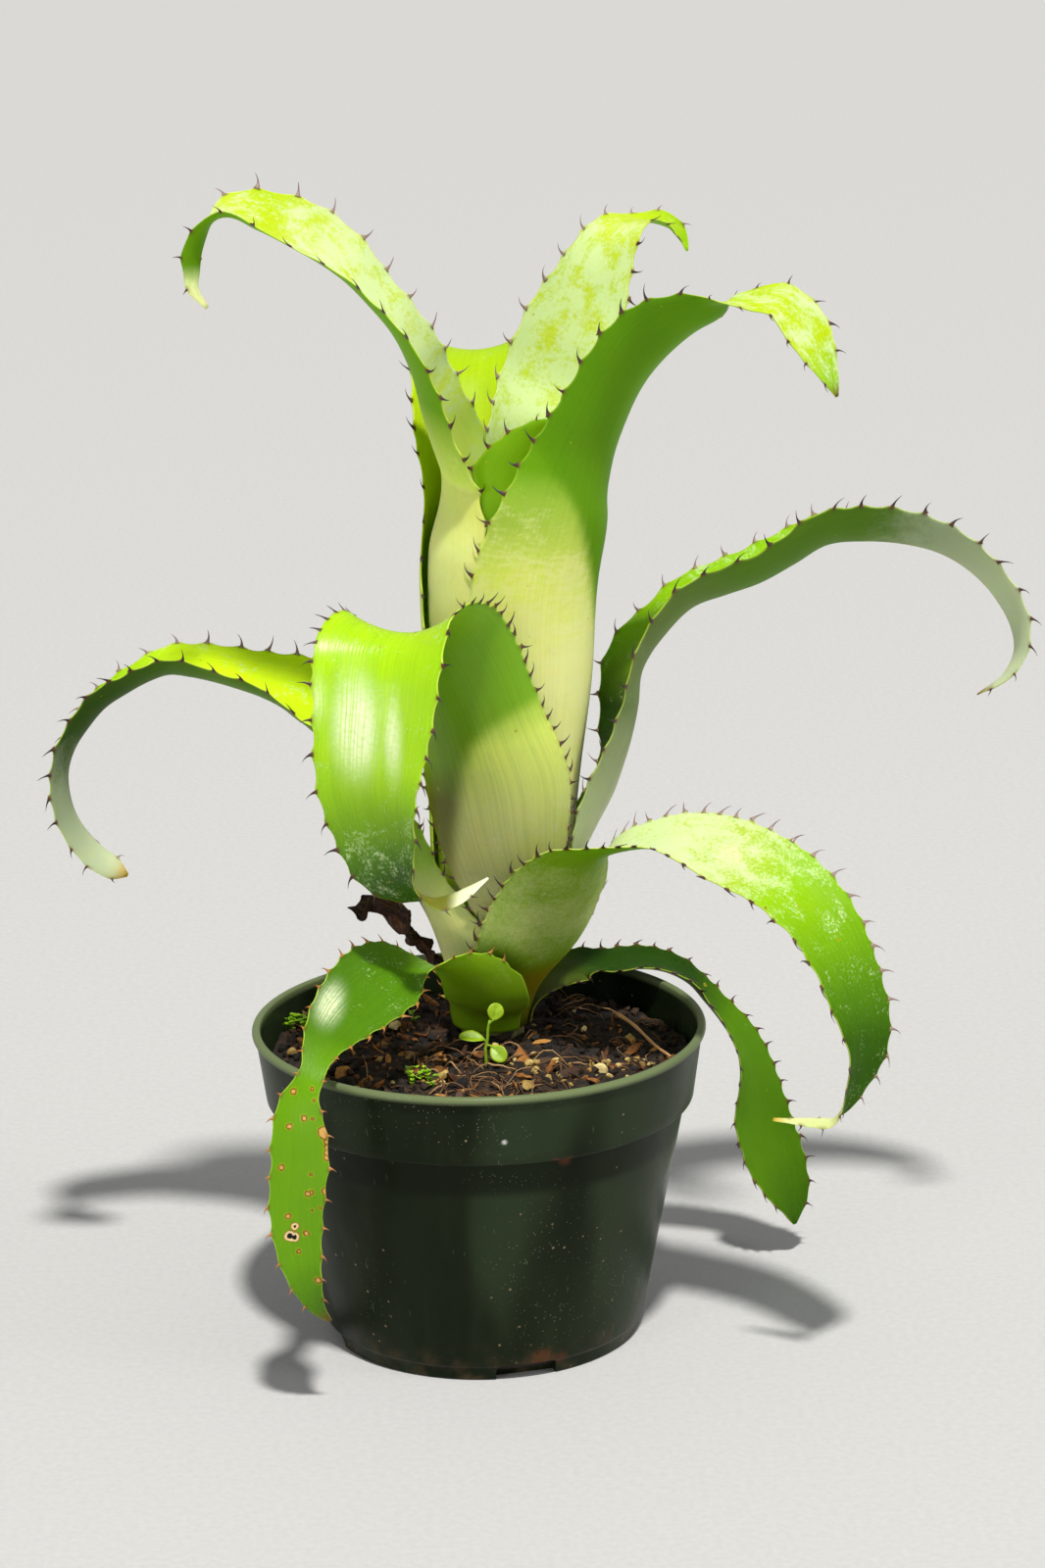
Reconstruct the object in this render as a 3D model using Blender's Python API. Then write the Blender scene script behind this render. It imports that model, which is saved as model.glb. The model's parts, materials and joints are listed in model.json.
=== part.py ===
"""A bromeliad in a six-inch nursery pot: a tube of nested, spiny-edged leaves that arch out to all sides.

Lengths here are millimetres, and new_object turns them into metres. +Z is up, +Y leads away from the
front, and the origin is the middle of the pot's underside.
"""

import math
import random

import bmesh
import bpy
import numpy as np
from mathutils import Vector

MM = 0.001

# Pot: a squat six-inch nursery pot
RIM_RADIUS = 77.5
POT_HEIGHT = 109.5
BAND_HEIGHT = 25.0
BAND_FOOT_RADIUS = 73.2
BODY_TOP_RADIUS = 70.6
BASE_RADIUS = 53.5
FOOT_HEIGHT = 5.0
WALL = 1.5
FLOOR = 2.2
LIP = 1.4
LIP_HEIGHT = 3.0
LIP_ROUND = 0.8
FOOT_STEP = 0.7
POT_SIDES = 48
NOTCHES = 4
NOTCH_WIDTH = 21.0
NOTCH_HEIGHT = 5.5
NOTCH_DEPTH = 5.0
NOTCH_TURN = -75.0

# Soil: fills the pot to just under its rim
SOIL_LEVEL = 99.0
SOIL_DISH = 2.5
SOIL_SIDES = 30
SOIL_RINGS = (18.0, 32.0, 46.0, 59.0)
SOIL_LUMP = 1.3
SOIL_ROUGH = 0.5
SOIL_SHOULDER = 3.0
CUTTER_OVER = 20.0
CHIPS = 12
CHIP_SIZE = (11.0, 6.5, 3.6)
CHIP_SCALE = (0.6, 1.15)
CHIP_TILT = 0.35
CHIP_PROUD = 0.6
CHIP_REACH = (0.25, 0.79)
CHIP_FREE_STEM = 26.0
CHIP_FREE_SEEDLING = 11.0
SEAT_GAP = 0.3

# Stem: the short core that the leaves sit on, its foot in a plain hole in the soil
STEM_FOOT = 72.0
STEM_FOOT_RADIUS = 8.0
STEM_RADIUS = 11.0
STEM_WIDE_FROM = 86.0
STEM_WIDE_TO = 100.5
STEM_TOP = 117.0
STEM_TOP_RADIUS = 2.4
STEM_BURIED = ((STEM_FOOT, STEM_FOOT_RADIUS), (STEM_WIDE_FROM, STEM_RADIUS), (STEM_WIDE_TO, STEM_RADIUS))
STEM_SIDES = 18

# Tube: the middle line that all sheaths wrap round, and the radius of the outermost one by height
AXIS = ((98.0, 4.5, 24.0), (118.0, 4.5, 24.0), (140.0, 8.0, 23.0), (226.0, 12.5, 21.0), (320.0, 15.0, 19.0))
TUBE = ((98.0, 14.6), (105.0, 15.4), (122.0, 21.5), (140.0, 30.0), (165.0, 32.8), (195.0, 34.6),
        (226.0, 37.0), (260.0, 38.6), (290.0, 38.0), (330.0, 37.0))
SHEATH_LEVELS = (105.0, 113.0, 122.0, 140.0, 165.0, 195.0, 226.0, 260.0, 290.0)
SHELL_STEP = 1.35

# Leaves
LEAF_THICKNESS = 0.7
ROW_STEP = 14.0
COLUMNS = 8
SPINE_STEP = 11.5
SPINE_LENGTH = 5.0
SPINE_FOOT = 2.4
SPINE_LEAN = 1.9
MOST_FOOT_SHARE = 0.3
TIP_WIDTH = 1.2
LEAST_STEP = 6.0

# Each leaf, the innermost first. A leaf starts as a sheath: an arc of the tube at its turn, in degrees
# round the tube from +X, with its spread, in a shell of its own, counted inwards from the outermost. A
# sheath that winds round the tube has its turn and spread by height. Past `leaves_at` the blade runs
# through hand-placed stations: the middle line's x, y and z, the width across, the angle that its
# channelled section spans, and the way its upper face looks.
LEAVES = {
    "leaf_heart": dict(
        turn=-46, shell=10, starts_at=114, leaves_at=290, spread=148, spines_above=295, colour="leaf_young",
        blade=[
            (28.5, 3.5, 305, 62, 152, (-0.66, 0.75, 0)),
            (28.3, 3.5, 310, 54, 142, (-0.66, 0.75, 0)),
            (28.3, 3.5, 313, 36, 116, (-0.66, 0.75, 0)),
            (28.3, 3.3, 315.5, 16, 90, (-0.66, 0.75, 0)),
            (29, 4, 317, 1.4, 60, (-0.66, 0.75, 0)),
        ]),
    "leaf_top_back": dict(
        turn=75, shell=9, starts_at=111, leaves_at=260, spread=110, spines_above=290, colour="leaf_pale",
        blade=[
            (23.1, 40.4, 308, 38.2, 88, (0.09, -0.82, 0.57)),
            (28.4, 49, 320, 39.9, 80, (0.02, -0.89, 0.46)),
            (34.6, 53.6, 335.3, 38.1, 74, (-0.06, -0.93, 0.36)),
            (40.9, 57, 347.7, 34.3, 66, (-0.08, -0.92, 0.39)),
            (46.2, 60.1, 359.6, 27.2, 60, (-0.14, -0.87, 0.47)),
            (51.5, 63.8, 368.2, 22.4, 55, (-0.2, -0.66, 0.73)),
            (57, 68.3, 371.8, 20.4, 55, (-0.11, -0.09, 0.99)),
            (63.8, 74.9, 370.7, 16.1, 60, (0.18, 0.1, 0.98)),
            (69.9, 79.6, 369.2, 11.5, 70, (0.64, -0.33, 0.69)),
            (74.1, 81.6, 365.1, 8.1, 70, (0.79, -0.52, 0.32)),
            (76.1, 80.1, 359.8, 1.4, 60, (0.79, -0.52, 0.32)),
        ]),
    "leaf_top_left": dict(
        turn=195, shell=8, starts_at=109, leaves_at=270, spread=118, spines_above=270, colour="leaf_pale",
        blade=[
            (-9.2, 21.2, 297.8, 63.2, 128, (0.88, -0.15, 0.45)),
            (-11.1, 17.6, 304.9, 59.7, 116, (0.92, -0.14, 0.38)),
            (-14.9, 12.9, 319.6, 54.5, 106, (0.94, -0.12, 0.33)),
            (-18.6, 7.3, 335.7, 47.5, 96, (0.91, -0.12, 0.41)),
            (-23.7, 4.9, 347.4, 41.5, 88, (0.82, -0.13, 0.56)),
            (-31.1, 4, 357.8, 40.2, 80, (0.76, -0.15, 0.63)),
            (-39.5, 3.6, 368.3, 39.2, 76, (0.68, -0.25, 0.69)),
            (-48.4, 4, 375.8, 39.1, 75, (0.54, -0.33, 0.78)),
            (-58.8, 2.9, 382.1, 35.4, 75, (0.4, -0.35, 0.85)),
            (-68.4, 1.9, 386, 30.7, 75, (0.25, -0.3, 0.92)),
            (-75.4, 0.3, 387.8, 23.7, 75, (-0.05, -0.3, 0.95)),
            (-80.2, -2.1, 387, 15.3, 75, (-0.6, -0.02, 0.8)),
            (-84.4, -2.8, 382.7, 12.1, 75, (-0.79, 0.43, 0.45)),
            (-88.3, -3.1, 375.2, 9.7, 70, (-0.64, 0.75, 0.17)),
            (-88.8, -2.2, 369.2, 6.5, 60, (-0.56, 0.82, -0.11)),
            (-88.9, -3.1, 364.9, 3.1, 50, (0.87, 0.34, 0.35)),
            (-84.3, -3.1, 358, 1.4, 50, (0.87, 0.34, 0.35)),
        ]),
    "leaf_top_right": dict(
        turn=-35, shell=7, starts_at=107, leaves_at=260, spread=174, spines_above=240, colour="leaf_right",
        blade=[
            (41.7, 3.4, 283.8, 83.5, 158, (-0.73, 0.49, 0.48)),
            (42.4, 5.2, 294, 74.1, 134, (-0.71, 0.48, 0.51)),
            (43.8, 5.6, 304, 62.4, 118, (-0.68, 0.49, 0.55)),
            (47.4, 4, 315.5, 53.3, 104, (-0.65, 0.53, 0.55)),
            (52.6, 2, 327.4, 47.9, 95, (-0.6, 0.56, 0.57)),
            (59.2, -1.3, 338.6, 45.1, 90, (-0.46, 0.6, 0.66)),
            (66.7, -5, 347.8, 39, 84, (-0.19, 0.6, 0.77)),
            (75.1, -9.5, 353.6, 28.6, 76, (0.04, 0.54, 0.84)),
            (82.1, -13.1, 357.9, 14.9, 60, (0.15, 0.43, 0.89)),
            (85.5, -16.4, 359.5, 7.4, 50, (-0.25, -0.21, 0.94)),
            (92.4, -18.5, 359.7, 12.5, 45, (-0.18, -0.44, 0.88)),
            (100.2, -20, 359.8, 18, 45, (0.16, -0.57, 0.81)),
            (106.8, -21.5, 353.8, 21.3, 45, (0.42, -0.73, 0.53)),
            (112.3, -23.7, 345.1, 17.6, 45, (0.49, -0.79, 0.37)),
            (116.3, -24.8, 336.7, 9.8, 45, (0.64, -0.73, 0.24)),
            (119.4, -24.9, 329.3, 1.4, 50, (0.64, -0.73, 0.24)),
        ]),
    "leaf_back": dict(
        turn=133, shell=6, starts_at=105.5, leaves_at=265, spread=122, spines_above=240, colour="leaf_right",
        blade=[
            (0, 45, 288, 52, 110, (0.4, -0.9, 0)),
            (-1, 53, 309, 46, 90, (0.2, -1.0, 0.4)),
            (0, 66, 323, 43, 80, (0, -0.6, 0.8)),
            (2, 82, 326, 40, 70, (0, 0, 1.0)),
            (3, 98, 317, 37, 65, (0, 0.6, 0.8)),
            (2, 109, 300, 33, 65, (0, 0.9, 0.4)),
            (0, 114, 279, 25, 70, (0, 1.0, 0)),
            (-2, 112, 260, 13, 70, (0, 1.0, -0.3)),
            (-3, 107, 249, 1.4, 60, (0, 0.9, -0.5)),
        ]),
    "leaf_right": dict(
        turn=18, shell=5, starts_at=104.5, leaves_at=150, spread=94, spines_above=140, colour="leaf_waxy",
        blade=[
            (48.6, 27.3, 185.2, 49.1, 100, (-0.95, 0.17, 0.27)),
            (52.7, 28.9, 198.6, 49.5, 100, (-0.97, 0.01, 0.26)),
            (55.6, 32.3, 212, 49.1, 95, (-0.97, -0.12, 0.23)),
            (57, 35, 223, 50.6, 90, (-0.94, -0.12, 0.32)),
            (60.9, 37.1, 229.6, 53.3, 90, (-0.84, -0.02, 0.55)),
            (65, 37.2, 234.4, 52.5, 90, (-0.72, 0.08, 0.69)),
            (75.9, 39.5, 244.5, 52.3, 95, (-0.58, 0.13, 0.8)),
            (86.8, 41.1, 248.2, 53.1, 100, (-0.39, 0.16, 0.91)),
            (98.6, 42.6, 251.8, 53.1, 108, (-0.42, 0.15, 0.89)),
            (110.8, 44.2, 257.7, 52.2, 115, (-0.47, 0.19, 0.86)),
            (121.7, 45, 263.8, 50, 120, (-0.26, 0.25, 0.93)),
            (134.7, 45.1, 265.2, 47.2, 120, (0.04, 0.3, 0.95)),
            (147.9, 46, 263.9, 43.4, 116, (0.27, 0.3, 0.91)),
            (160.1, 45.4, 260.5, 38.4, 112, (0.49, 0.3, 0.82)),
            (171.1, 44.9, 253.8, 33.3, 105, (0.69, 0.28, 0.66)),
            (179.9, 43.4, 244.9, 28, 100, (0.85, 0.26, 0.45)),
            (185.5, 41.9, 234.5, 22.4, 95, (0.96, 0.23, 0.15)),
            (186.3, 40.7, 226, 16.8, 90, (0.94, 0.06, -0.33)),
            (182.4, 39.5, 218.2, 10.1, 80, (0.66, -0.02, -0.75)),
            (173.3, 40, 211.1, 1.4, 60, (0.66, -0.02, -0.75)),
        ]),
    "leaf_front": dict(
        shell=3, starts_at=102.5, leaves_at=178, spines_above=140, colour="leaf_front",
        sheath=((102, -60, 50), (140, -72, 62), (165, -86, 90), (190, -98, 114)),
        blade=[
            (6.6, -9, 193.2, 58.4, 112, (0.13, 0.95, 0.29)),
            (2.6, -11.1, 207.3, 54.9, 104, (0.15, 0.93, 0.32)),
            (-2.1, -14.9, 222.4, 52.5, 98, (0.13, 0.92, 0.36)),
            (-7.2, -19.1, 236.2, 53.4, 90, (0.11, 0.89, 0.44)),
            (-13, -23.8, 247.2, 54.5, 80, (0.07, 0.76, 0.65)),
            (-19, -29.5, 253.6, 53.5, 68, (-0.02, 0.43, 0.9)),
            (-23.7, -34.3, 255.3, 51.6, 58, (-0.18, -0.12, 0.98)),
            (-27.4, -39.3, 252.5, 51, 52, (-0.3, -0.63, 0.72)),
            (-29.7, -44.5, 244.6, 49.4, 50, (-0.33, -0.86, 0.39)),
            (-31, -46.7, 233.7, 46.6, 52, (-0.35, -0.93, 0.14)),
            (-32.8, -47.1, 219.9, 43.1, 56, (-0.34, -0.94, 0)),
            (-33.8, -45.7, 204.9, 38.8, 62, (-0.34, -0.93, -0.14)),
            (-31.7, -43.7, 190.1, 33.1, 66, (-0.35, -0.92, -0.19)),
            (-29, -43.3, 179.2, 27.3, 70, (-0.32, -0.91, -0.26)),
            (-24, -43.1, 172.1, 21.1, 70, (-0.33, -0.78, -0.53)),
            (-18.6, -43.2, 168.7, 15.2, 65, (-0.31, -0.38, -0.87)),
            (-13.3, -43.2, 166.7, 11.1, 60, (-0.09, 0.13, -0.99)),
            (-7.8, -42.4, 167.1, 9.1, 60, (0.22, 0.39, -0.89)),
            (-2, -40.7, 169.8, 5.5, 55, (0.4, 0.3, -0.87)),
            (3.7, -38, 172.7, 1.4, 55, (0.4, 0.3, -0.87)),
        ]),
    "leaf_left": dict(
        shell=4, starts_at=103.5, leaves_at=140, spines_above=150, colour="leaf_waxy",
        sheath=((103, -168, 150), (140, -172, 140), (165, -180, 125)),
        blade=[
            (-25.3, 26.1, 155.5, 57.1, 110, (0.91, 0.15, 0.4)),
            (-31.6, 27.6, 171.6, 57.5, 100, (0.89, 0.14, 0.44)),
            (-39.7, 33.4, 187.5, 53.2, 95, (0.83, -0.02, 0.56)),
            (-48.7, 37.6, 200.4, 51.8, 92, (0.71, -0.21, 0.67)),
            (-55.4, 40.9, 208.3, 48.7, 90, (0.54, -0.31, 0.78)),
            (-61.9, 42, 212.7, 45.8, 90, (0.37, -0.29, 0.88)),
            (-69.4, 42.3, 215.6, 43.4, 92, (0.29, -0.16, 0.94)),
            (-78.2, 43.1, 218.2, 42.3, 95, (0.25, -0.08, 0.97)),
            (-87.7, 44.2, 220.6, 40.9, 95, (0.2, -0.02, 0.98)),
            (-96.8, 44.2, 222.5, 39.8, 95, (0.12, 0.04, 0.99)),
            (-104.5, 44.3, 223.1, 39, 97, (-0.13, 0.09, 0.99)),
            (-110.8, 43.7, 221, 38.1, 98, (-0.42, 0.11, 0.9)),
            (-119, 43, 216.5, 37.3, 98, (-0.53, 0.14, 0.84)),
            (-126.6, 42, 211.6, 37.6, 98, (-0.66, 0.13, 0.74)),
            (-132.6, 41.2, 205, 37.5, 95, (-0.81, 0.11, 0.57)),
            (-137.6, 39.5, 198, 34.9, 92, (-0.94, 0.05, 0.34)),
            (-140.2, 38.2, 190.4, 28.7, 90, (-1.0, 0.04, 0.01)),
            (-140.2, 37.2, 181.7, 23.1, 86, (-0.95, 0.19, -0.23)),
            (-138.2, 37.1, 172.3, 19, 80, (-0.87, 0.27, -0.41)),
            (-133.9, 37, 163.9, 15, 78, (-0.7, 0.39, -0.6)),
            (-128.2, 36.3, 157.7, 11.2, 75, (-0.41, 0.68, -0.61)),
            (-123.1, 36.4, 154, 9, 65, (-0.21, 0.93, -0.31)),
            (-120.9, 37.9, 152.3, 1.4, 60, (-0.21, 0.93, -0.31)),
        ]),
    "leaf_low_right": dict(
        turn=-55, shell=2, starts_at=101.5, leaves_at=118, spread=118, spines_above=125, colour="leaf_low",
        blade=[
            (22.7, -0.3, 133.6, 52.6, 105, (-0.45, 0.77, 0.44)),
            (27, -4.4, 146.8, 51.7, 100, (-0.41, 0.78, 0.48)),
            (33.7, -8.6, 160.2, 49, 95, (-0.42, 0.7, 0.57)),
            (39.1, -10.2, 168.4, 43.4, 85, (-0.39, 0.44, 0.81)),
            (45.6, -13.4, 172.5, 37.9, 78, (-0.26, 0.18, 0.95)),
            (53.9, -16.7, 175.8, 35.6, 70, (-0.2, 0.11, 0.97)),
            (62.5, -19.8, 178, 35.8, 65, (-0.09, -0.04, 0.99)),
            (70.9, -22.5, 177.7, 38.2, 60, (0.09, -0.22, 0.97)),
            (79.5, -25.8, 175.3, 39.3, 55, (0.13, -0.38, 0.92)),
            (89, -30.2, 172.5, 38.6, 52, (0.16, -0.43, 0.89)),
            (98.1, -34.1, 168.7, 36.8, 50, (0.27, -0.5, 0.82)),
            (106.9, -38.9, 162.1, 35.1, 50, (0.34, -0.57, 0.74)),
            (113.6, -43.9, 154.5, 32.8, 50, (0.45, -0.61, 0.65)),
            (118.3, -48.3, 146.1, 30.5, 50, (0.51, -0.68, 0.53)),
            (122, -52.2, 136.3, 29.2, 52, (0.53, -0.73, 0.44)),
            (125.3, -55.7, 125.9, 25.9, 55, (0.57, -0.76, 0.31)),
            (125.9, -58.5, 115.5, 20.9, 60, (0.65, -0.76, 0.01)),
            (122.7, -59.8, 105.1, 13.8, 62, (0.71, -0.65, -0.26)),
            (119.3, -61, 97.3, 6.6, 60, (0.66, -0.58, -0.47)),
            (116, -60.2, 93.2, 5.2, 60, (0.61, 0.29, -0.74)),
            (109.9, -56.3, 91.6, 5.3, 60, (0.35, 0.41, -0.84)),
            (103.4, -53.1, 90.9, 2.6, 50, (0.24, 0.47, -0.85)),
            (97.1, -50.1, 90.5, 1.4, 50, (0.24, 0.47, -0.85)),
        ]),
    "leaf_low_back": dict(
        turn=38, shell=1, starts_at=101.5, leaves_at=105, spread=108, spines_above=110, colour="leaf_low",
        blade=[
            (38.9, 43.2, 113.7, 26.4, 85, (0.25, 0.01, 0.97)),
            (45.1, 44.6, 112.6, 26.9, 75, (0.07, -0.01, 1.0)),
            (54.9, 46.6, 113.3, 26.6, 70, (0.08, 0, 1.0)),
            (63.8, 48.5, 111.8, 26.4, 65, (0.36, 0, 0.93)),
            (72.2, 50.1, 107.4, 25.2, 60, (0.65, -0.04, 0.76)),
            (79.3, 51.8, 99.5, 24.2, 58, (0.78, -0.11, 0.62)),
            (85.8, 53, 91.3, 22.5, 55, (0.81, -0.17, 0.56)),
            (91.2, 53.9, 84, 20.6, 55, (0.82, -0.38, 0.42)),
            (94.8, 54.9, 75.8, 21.3, 55, (0.81, -0.55, 0.22)),
            (97.2, 55.5, 64.6, 23.4, 55, (0.67, -0.73, 0.12)),
            (98.7, 55.7, 52.3, 27.8, 55, (0.55, -0.83, 0.13)),
            (102.2, 55.7, 40.2, 28.3, 55, (0.53, -0.83, 0.18)),
            (106.8, 55.6, 28.6, 25.2, 58, (0.52, -0.83, 0.18)),
            (110.4, 55.3, 20.1, 17.2, 60, (0.57, -0.82, 0.06)),
            (111.8, 54.1, 11.5, 1.4, 60, (0.57, -0.82, 0.06)),
        ]),
    "leaf_low_left": dict(
        turn=-112, shell=1, starts_at=101.5, leaves_at=108, spread=128, spines_above=110, colour="leaf_low",
        blade=[
            (2.1, -4.7, 116.4, 31.4, 85, (0.08, 0.87, 0.48)),
            (-2.5, -9.6, 127, 30.8, 80, (-0.03, 0.82, 0.57)),
            (-10, -13, 132.8, 18.8, 70, (-0.14, 0.63, 0.76)),
            (-18.5, -17, 135.4, 12.3, 60, (0.3, 0.05, 0.95)),
            (-25.5, -23, 137.2, 24.1, 60, (0.48, -0.24, 0.84)),
            (-31.5, -31, 135.7, 32.7, 60, (0.36, -0.46, 0.81)),
            (-39.4, -40.8, 132.1, 31.3, 60, (0.32, -0.57, 0.75)),
            (-47.3, -52.5, 127.9, 23.7, 55, (0.38, -0.62, 0.69)),
            (-52.3, -63.1, 122.7, 14.4, 50, (0.26, -0.65, 0.72)),
            (-55.1, -71.4, 116.3, 8.4, 45, (-0.07, -0.74, 0.67)),
            (-58.7, -74.7, 109.3, 14.9, 45, (-0.14, -0.89, 0.44)),
            (-59.4, -77, 100.7, 19.9, 48, (-0.06, -0.97, 0.22)),
            (-59.4, -78.3, 89.3, 21.5, 48, (-0.04, -1.0, 0.08)),
            (-61, -79, 73.9, 19.8, 48, (0, -1.0, 0)),
            (-60.5, -78.8, 58.2, 16.9, 48, (0.06, -1.0, -0.06)),
            (-58, -77.8, 45.1, 11.3, 50, (0, -0.99, -0.16)),
            (-54.7, -76.4, 36.4, 5.3, 50, (0.09, -0.96, -0.26)),
            (-51.1, -74.9, 31.7, 1.4, 50, (0.09, -0.96, -0.26)),
        ]),
    "leaf_dried": dict(
        turn=158, shell=1, starts_at=101.5, leaves_at=113, spread=44, spines_above=None, colour="dried",
        blade=[
            (-20, 24, 128, 12, 90, (0.9, 0, 0.4)),
            (-27, 19, 138, 12, 110, (0.6, 0.3, 0.7)),
            (-33, 13, 145, 14, 130, (0.2, 0.5, 0.9)),
            (-38, 8, 149, 9, 120, (-0.3, 0.4, 0.9)),
            (-42, 5, 146, 1.4, 60, (-0.6, 0.2, 0.8)),
        ]),
}

# Seedling: a weed with round leaves that came up in the front of the pot
SEEDLING_FOOT = (2.2, -15.0)
SEEDLING_DEPTH = 7.0
SEEDLING_SIDES = 6
SEEDLING_STEM_RADIUS = 0.6
SEEDLING_STEM_TOP = (3.6, -13.5, 114.5)
SEEDLING_STEM_BEND = 3.0
SEEDLING_LEAVES = (((5.4, -12.5, 117.0), 3.4), ((-2.6, -14.5, 108.6), 4.2), ((6.2, -16.5, 103.4), 3.4))
SEEDLING_LEAF_THICKNESS = 0.9
ROUND_LEAF_BREADTH = 0.8
ROUND_LEAF_CORNERS = 10

COLOURS = {
    "pot": ((0.022, 0.036, 0.022), 0.38),
    "soil": ((0.060, 0.034, 0.018), 0.95),
    "stem": ((0.42, 0.45, 0.20), 0.6),
    "seedling": ((0.16, 0.38, 0.04), 0.45),
    "leaf_young": ((0.22, 0.46, 0.03), 0.4),
    "leaf_pale": ((0.42, 0.62, 0.13), 0.4),
    "leaf_right": ((0.34, 0.52, 0.12), 0.45),
    "leaf_waxy": ((0.24, 0.38, 0.14), 0.5),
    "leaf_front": ((0.30, 0.55, 0.05), 0.3),
    "leaf_low": ((0.18, 0.38, 0.05), 0.38),
    "dried": ((0.12, 0.055, 0.02), 0.85),
}


def clear_scene():
    for existing in list(bpy.data.objects):
        bpy.data.objects.remove(existing)


def material(name):
    made = bpy.data.materials.get(name)
    if made is None:
        colour, roughness = COLOURS[name]
        made = bpy.data.materials.new(name)
        made.use_nodes = True
        shader = made.node_tree.nodes["Principled BSDF"]
        shader.inputs["Base Color"].default_value = (*colour, 1.0)
        shader.inputs["Roughness"].default_value = roughness
        shader.inputs["Metallic"].default_value = 0.0
    return made


def new_object(name, points, faces, finish, smooth=True):
    """An object from points in millimetres and faces as tuples of point numbers."""
    mesh = bpy.data.meshes.new(name)
    mesh.from_pydata([Vector(p) * MM for p in points], [], faces)
    mesh.materials.append(material(finish))
    if smooth:
        mesh.shade_smooth()
        mesh.set_sharp_from_angle(angle=math.radians(40))
    made = bpy.data.objects.new(name, mesh)
    bpy.context.scene.collection.objects.link(made)
    return made


def combine(target, others, operation, solver="EXACT"):
    """Applies one Boolean of all the others to the target, and removes them."""
    group = bpy.data.collections.new(f"{target.name} {operation.lower()}")
    bpy.context.scene.collection.children.link(group)
    for other in others:
        other.hide_render = True
        other.display_type = "WIRE"
        for holder in other.users_collection:
            holder.objects.unlink(other)
        group.objects.link(other)
    boolean = target.modifiers.new(operation.title(), "BOOLEAN")
    boolean.operation = operation
    boolean.operand_type = "COLLECTION"
    boolean.collection = group
    boolean.solver = solver
    bpy.context.view_layer.update()
    evaluated = target.evaluated_get(bpy.context.evaluated_depsgraph_get())
    result = bpy.data.meshes.new_from_object(evaluated)
    target.modifiers.clear()
    target.data = result
    for other in others:
        bpy.data.objects.remove(other)
    bpy.data.collections.remove(group)


def turned(profile, sides, centre=(0.0, 0.0)):
    """Points and faces of a closed solid turned round a vertical line. The profile's (z, radius) pairs
    run from the bottom middle to the top middle, and its first and last points get a middle point each."""
    points = []
    for z, radius in profile:
        for side in range(sides):
            angle = 2 * math.pi * side / sides
            points.append((centre[0] + radius * math.cos(angle), centre[1] + radius * math.sin(angle), z))
    faces = []
    for ring in range(len(profile) - 1):
        for side in range(sides):
            near = ring * sides + side
            far = ring * sides + (side + 1) % sides
            faces.append((near, far, far + sides, near + sides))
    bottom = len(points)
    top = bottom + 1
    points.append((*centre, profile[0][0]))
    points.append((*centre, profile[-1][0]))
    last = (len(profile) - 1) * sides
    for side in range(sides):
        following = (side + 1) % sides
        faces.append((bottom, following, side))
        faces.append((top, last + side, last + following))
    return points, faces


def interpolated(table, z):
    """The columns of a table of (z, value, ...) rows, read at a height."""
    levels = [row[0] for row in table]
    return [float(np.interp(z, levels, [row[column] for row in table])) for column in range(1, len(table[0]))]


def body_radius(z):
    """Outer radius of the pot's tapered wall below the band."""
    return BASE_RADIUS + (BODY_TOP_RADIUS - BASE_RADIUS) * z / (POT_HEIGHT - BAND_HEIGHT)


def inner_radius(z):
    return body_radius(z) - WALL


def make_pot():
    band_foot = POT_HEIGHT - BAND_HEIGHT
    rim_inside = RIM_RADIUS - LIP - WALL
    profile = [
        (0.0, BASE_RADIUS - LIP_ROUND),
        (LIP_ROUND, BASE_RADIUS),
        (FOOT_HEIGHT, body_radius(FOOT_HEIGHT)),
        (FOOT_HEIGHT + LIP_ROUND, body_radius(FOOT_HEIGHT) + FOOT_STEP),
        (band_foot - LIP_ROUND, BODY_TOP_RADIUS),
        (band_foot, BAND_FOOT_RADIUS),
        (POT_HEIGHT - LIP_HEIGHT, RIM_RADIUS - LIP),
        (POT_HEIGHT - LIP_HEIGHT + LIP_ROUND, RIM_RADIUS),
        (POT_HEIGHT - LIP_ROUND, RIM_RADIUS),
        (POT_HEIGHT, RIM_RADIUS - LIP_ROUND),
        (POT_HEIGHT, rim_inside + LIP_ROUND / 2),
        (POT_HEIGHT - LIP_HEIGHT, rim_inside),
        (band_foot + WALL, BAND_FOOT_RADIUS - WALL),
        (band_foot - WALL / 3, inner_radius(band_foot)),
        (FLOOR, inner_radius(FLOOR)),
    ]
    points, faces = turned(profile, POT_SIDES)
    pot = new_object("pot", points, faces, "pot")
    cutters = []
    for notch in range(NOTCHES):
        angle = math.radians(NOTCH_TURN) + 2 * math.pi * notch / NOTCHES
        bpy.ops.mesh.primitive_cube_add(
            size=1.0,
            location=(math.cos(angle) * BASE_RADIUS * MM, math.sin(angle) * BASE_RADIUS * MM, 0.0),
            rotation=(0.0, 0.0, angle),
        )
        cutter = bpy.context.object
        cutter.name = f"notch {notch}"
        cutter.scale = (2 * NOTCH_DEPTH * MM, NOTCH_WIDTH * MM, 2 * NOTCH_HEIGHT * MM)
        cutters.append(cutter)
    combine(pot, cutters, "DIFFERENCE")


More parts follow.
